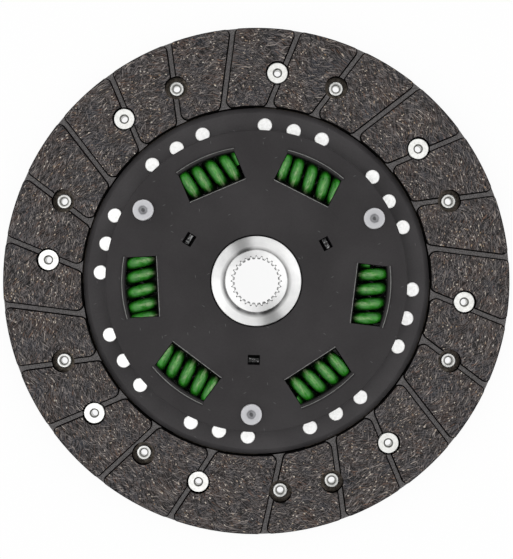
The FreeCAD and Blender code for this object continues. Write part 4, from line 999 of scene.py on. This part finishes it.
def floor_white():
    # Plain white paper: shows nearly white to the eye and in reflections, and keeps a faint shadow
    # from its own matt surface. Under the disc, by radius, its white is painted off as shadow, so
    # it shows only that surface's own shade.
    material, tree, place = new_material("white_paper_floor")
    rays = add(tree, "ShaderNodeLightPath")
    seen = add(
        tree, "ShaderNodeMath",
        {0: (rays, "Is Camera Ray"), 1: (rays, "Is Glossy Ray")}, operation="MAXIMUM")
    shown = add(
        tree, "ShaderNodeMath", {0: seen, 1: (rays, "Is Transmission Ray")}, operation="MAXIMUM")
    xyz = add(tree, "ShaderNodeSeparateXYZ", {0: place})
    distance = from_axis(tree, xyz)
    # The white is taken off by radius under the disc, as a painted shadow
    outwards = add(
        tree, "ShaderNodeMapRange",
        {"Value": distance, "From Min": WHITE_OUTSIDE[0], "From Max": WHITE_OUTSIDE[1]})
    inwards = add(
        tree, "ShaderNodeMapRange",
        {"Value": distance, "From Min": WHITE_IN_BORE[0], "From Max": WHITE_IN_BORE[1]})
    clear = add(tree, "ShaderNodeMath", {0: outwards, 1: inwards}, operation="MAXIMUM")
    floor_glow_share = add(tree, "ShaderNodeMath", {0: shown, 1: clear}, operation="MULTIPLY")
    share = add(tree, "ShaderNodeMath", {0: floor_glow_share, 1: 0.93}, operation="MULTIPLY")
    paper = add(tree, "ShaderNodeBsdfDiffuse", {"Color": linear("#f4f4f4")})
    white = add(tree, "ShaderNodeEmission", {"Color": linear("#ffffff"), "Strength": 1.0})
    mixed = add(tree, "ShaderNodeMixShader", {0: share, 1: paper, 2: white})
    add(tree, "ShaderNodeOutputMaterial", {"Surface": mixed})
    return material


deselect()
bpy.ops.mesh.primitive_plane_add(size=FLOOR_SIDE, location=(0, 0, FLOOR_LEVEL))
floor = bpy.context.object
floor.name = "floor"
floor.data.materials.append(floor_white())

lamp = bpy.data.lights.new("soft_box", "AREA")
lamp.shape = "RECTANGLE"
lamp.size = lamp.size_y = LAMP_SIDE
lamp.energy = LAMP_POWER
soft_box = bpy.data.objects.new("soft_box", lamp)
soft_box.matrix_world = (
    Matrix.Rotation(math.radians(LAMP_BEARING), 4, "Z")
    @ Matrix.Rotation(math.radians(LAMP_TILT), 4, "Y")
    @ Matrix.Translation((0, 0, LAMP_DISTANCE)))
bpy.context.scene.collection.objects.link(soft_box)

# The turned ring and boss show the tent's openings as two dark sectors
world = bpy.data.worlds.new("white_tent")
world.use_nodes = True
sky = world.node_tree
sky.nodes.clear()
direction = add(sky, "ShaderNodeTexCoord")
turned = add(
    sky, "ShaderNodeMapping",
    {"Vector": (direction, "Generated"), "Rotation": (0.0, 0.0, -math.radians(TENT_OPENING))})
bearing = add(sky, "ShaderNodeSeparateXYZ", {0: turned})
level_part = add(sky, "ShaderNodeCombineXYZ", {0: (bearing, 0), 1: (bearing, 1)})
level_length = add(sky, "ShaderNodeVectorMath", {0: level_part}, operation="LENGTH")
off_opening = add(
    sky, "ShaderNodeMath", {0: (bearing, 1), 1: (level_length, "Value")}, operation="DIVIDE")
aside = add(sky, "ShaderNodeMath", {0: off_opening}, operation="ABSOLUTE")
beside = add(
    sky, "ShaderNodeMapRange",
    {"Value": aside, "From Min": OPENING_EDGE[0], "From Max": OPENING_EDGE[1]})
overhead = add(
    sky, "ShaderNodeMapRange",
    {"Value": (level_length, "Value"), "From Min": ZENITH_EDGE[0], "From Max": ZENITH_EDGE[1]})
white_share = add(sky, "ShaderNodeMath", {0: beside, 1: overhead}, operation="MAXIMUM")
strength = add(
    sky, "ShaderNodeMapRange",
    {"Value": white_share, "To Min": OPENING_BRIGHTNESS, "To Max": TENT_BRIGHTNESS})
tent = add(sky, "ShaderNodeBackground", {"Color": linear("#ffffff"), "Strength": strength})
add(sky, "ShaderNodeOutputWorld", {"Surface": tent})
bpy.context.scene.world = world

# The photo was taken from straight above
camera_data = bpy.data.cameras.new("camera")
camera_data.lens = CAMERA_LENS
camera_data.sensor_width = 36.0
camera_data.clip_start, camera_data.clip_end = 0.01, 100.0
camera = bpy.data.objects.new("camera", camera_data)
camera.location = Vector((*CAMERA_OFFSET, CAMERA_DISTANCE + FRONT_FACE)) * MM
bpy.context.scene.collection.objects.link(camera)
bpy.context.scene.camera = camera
bpy.context.scene.view_settings.view_transform = "Standard"
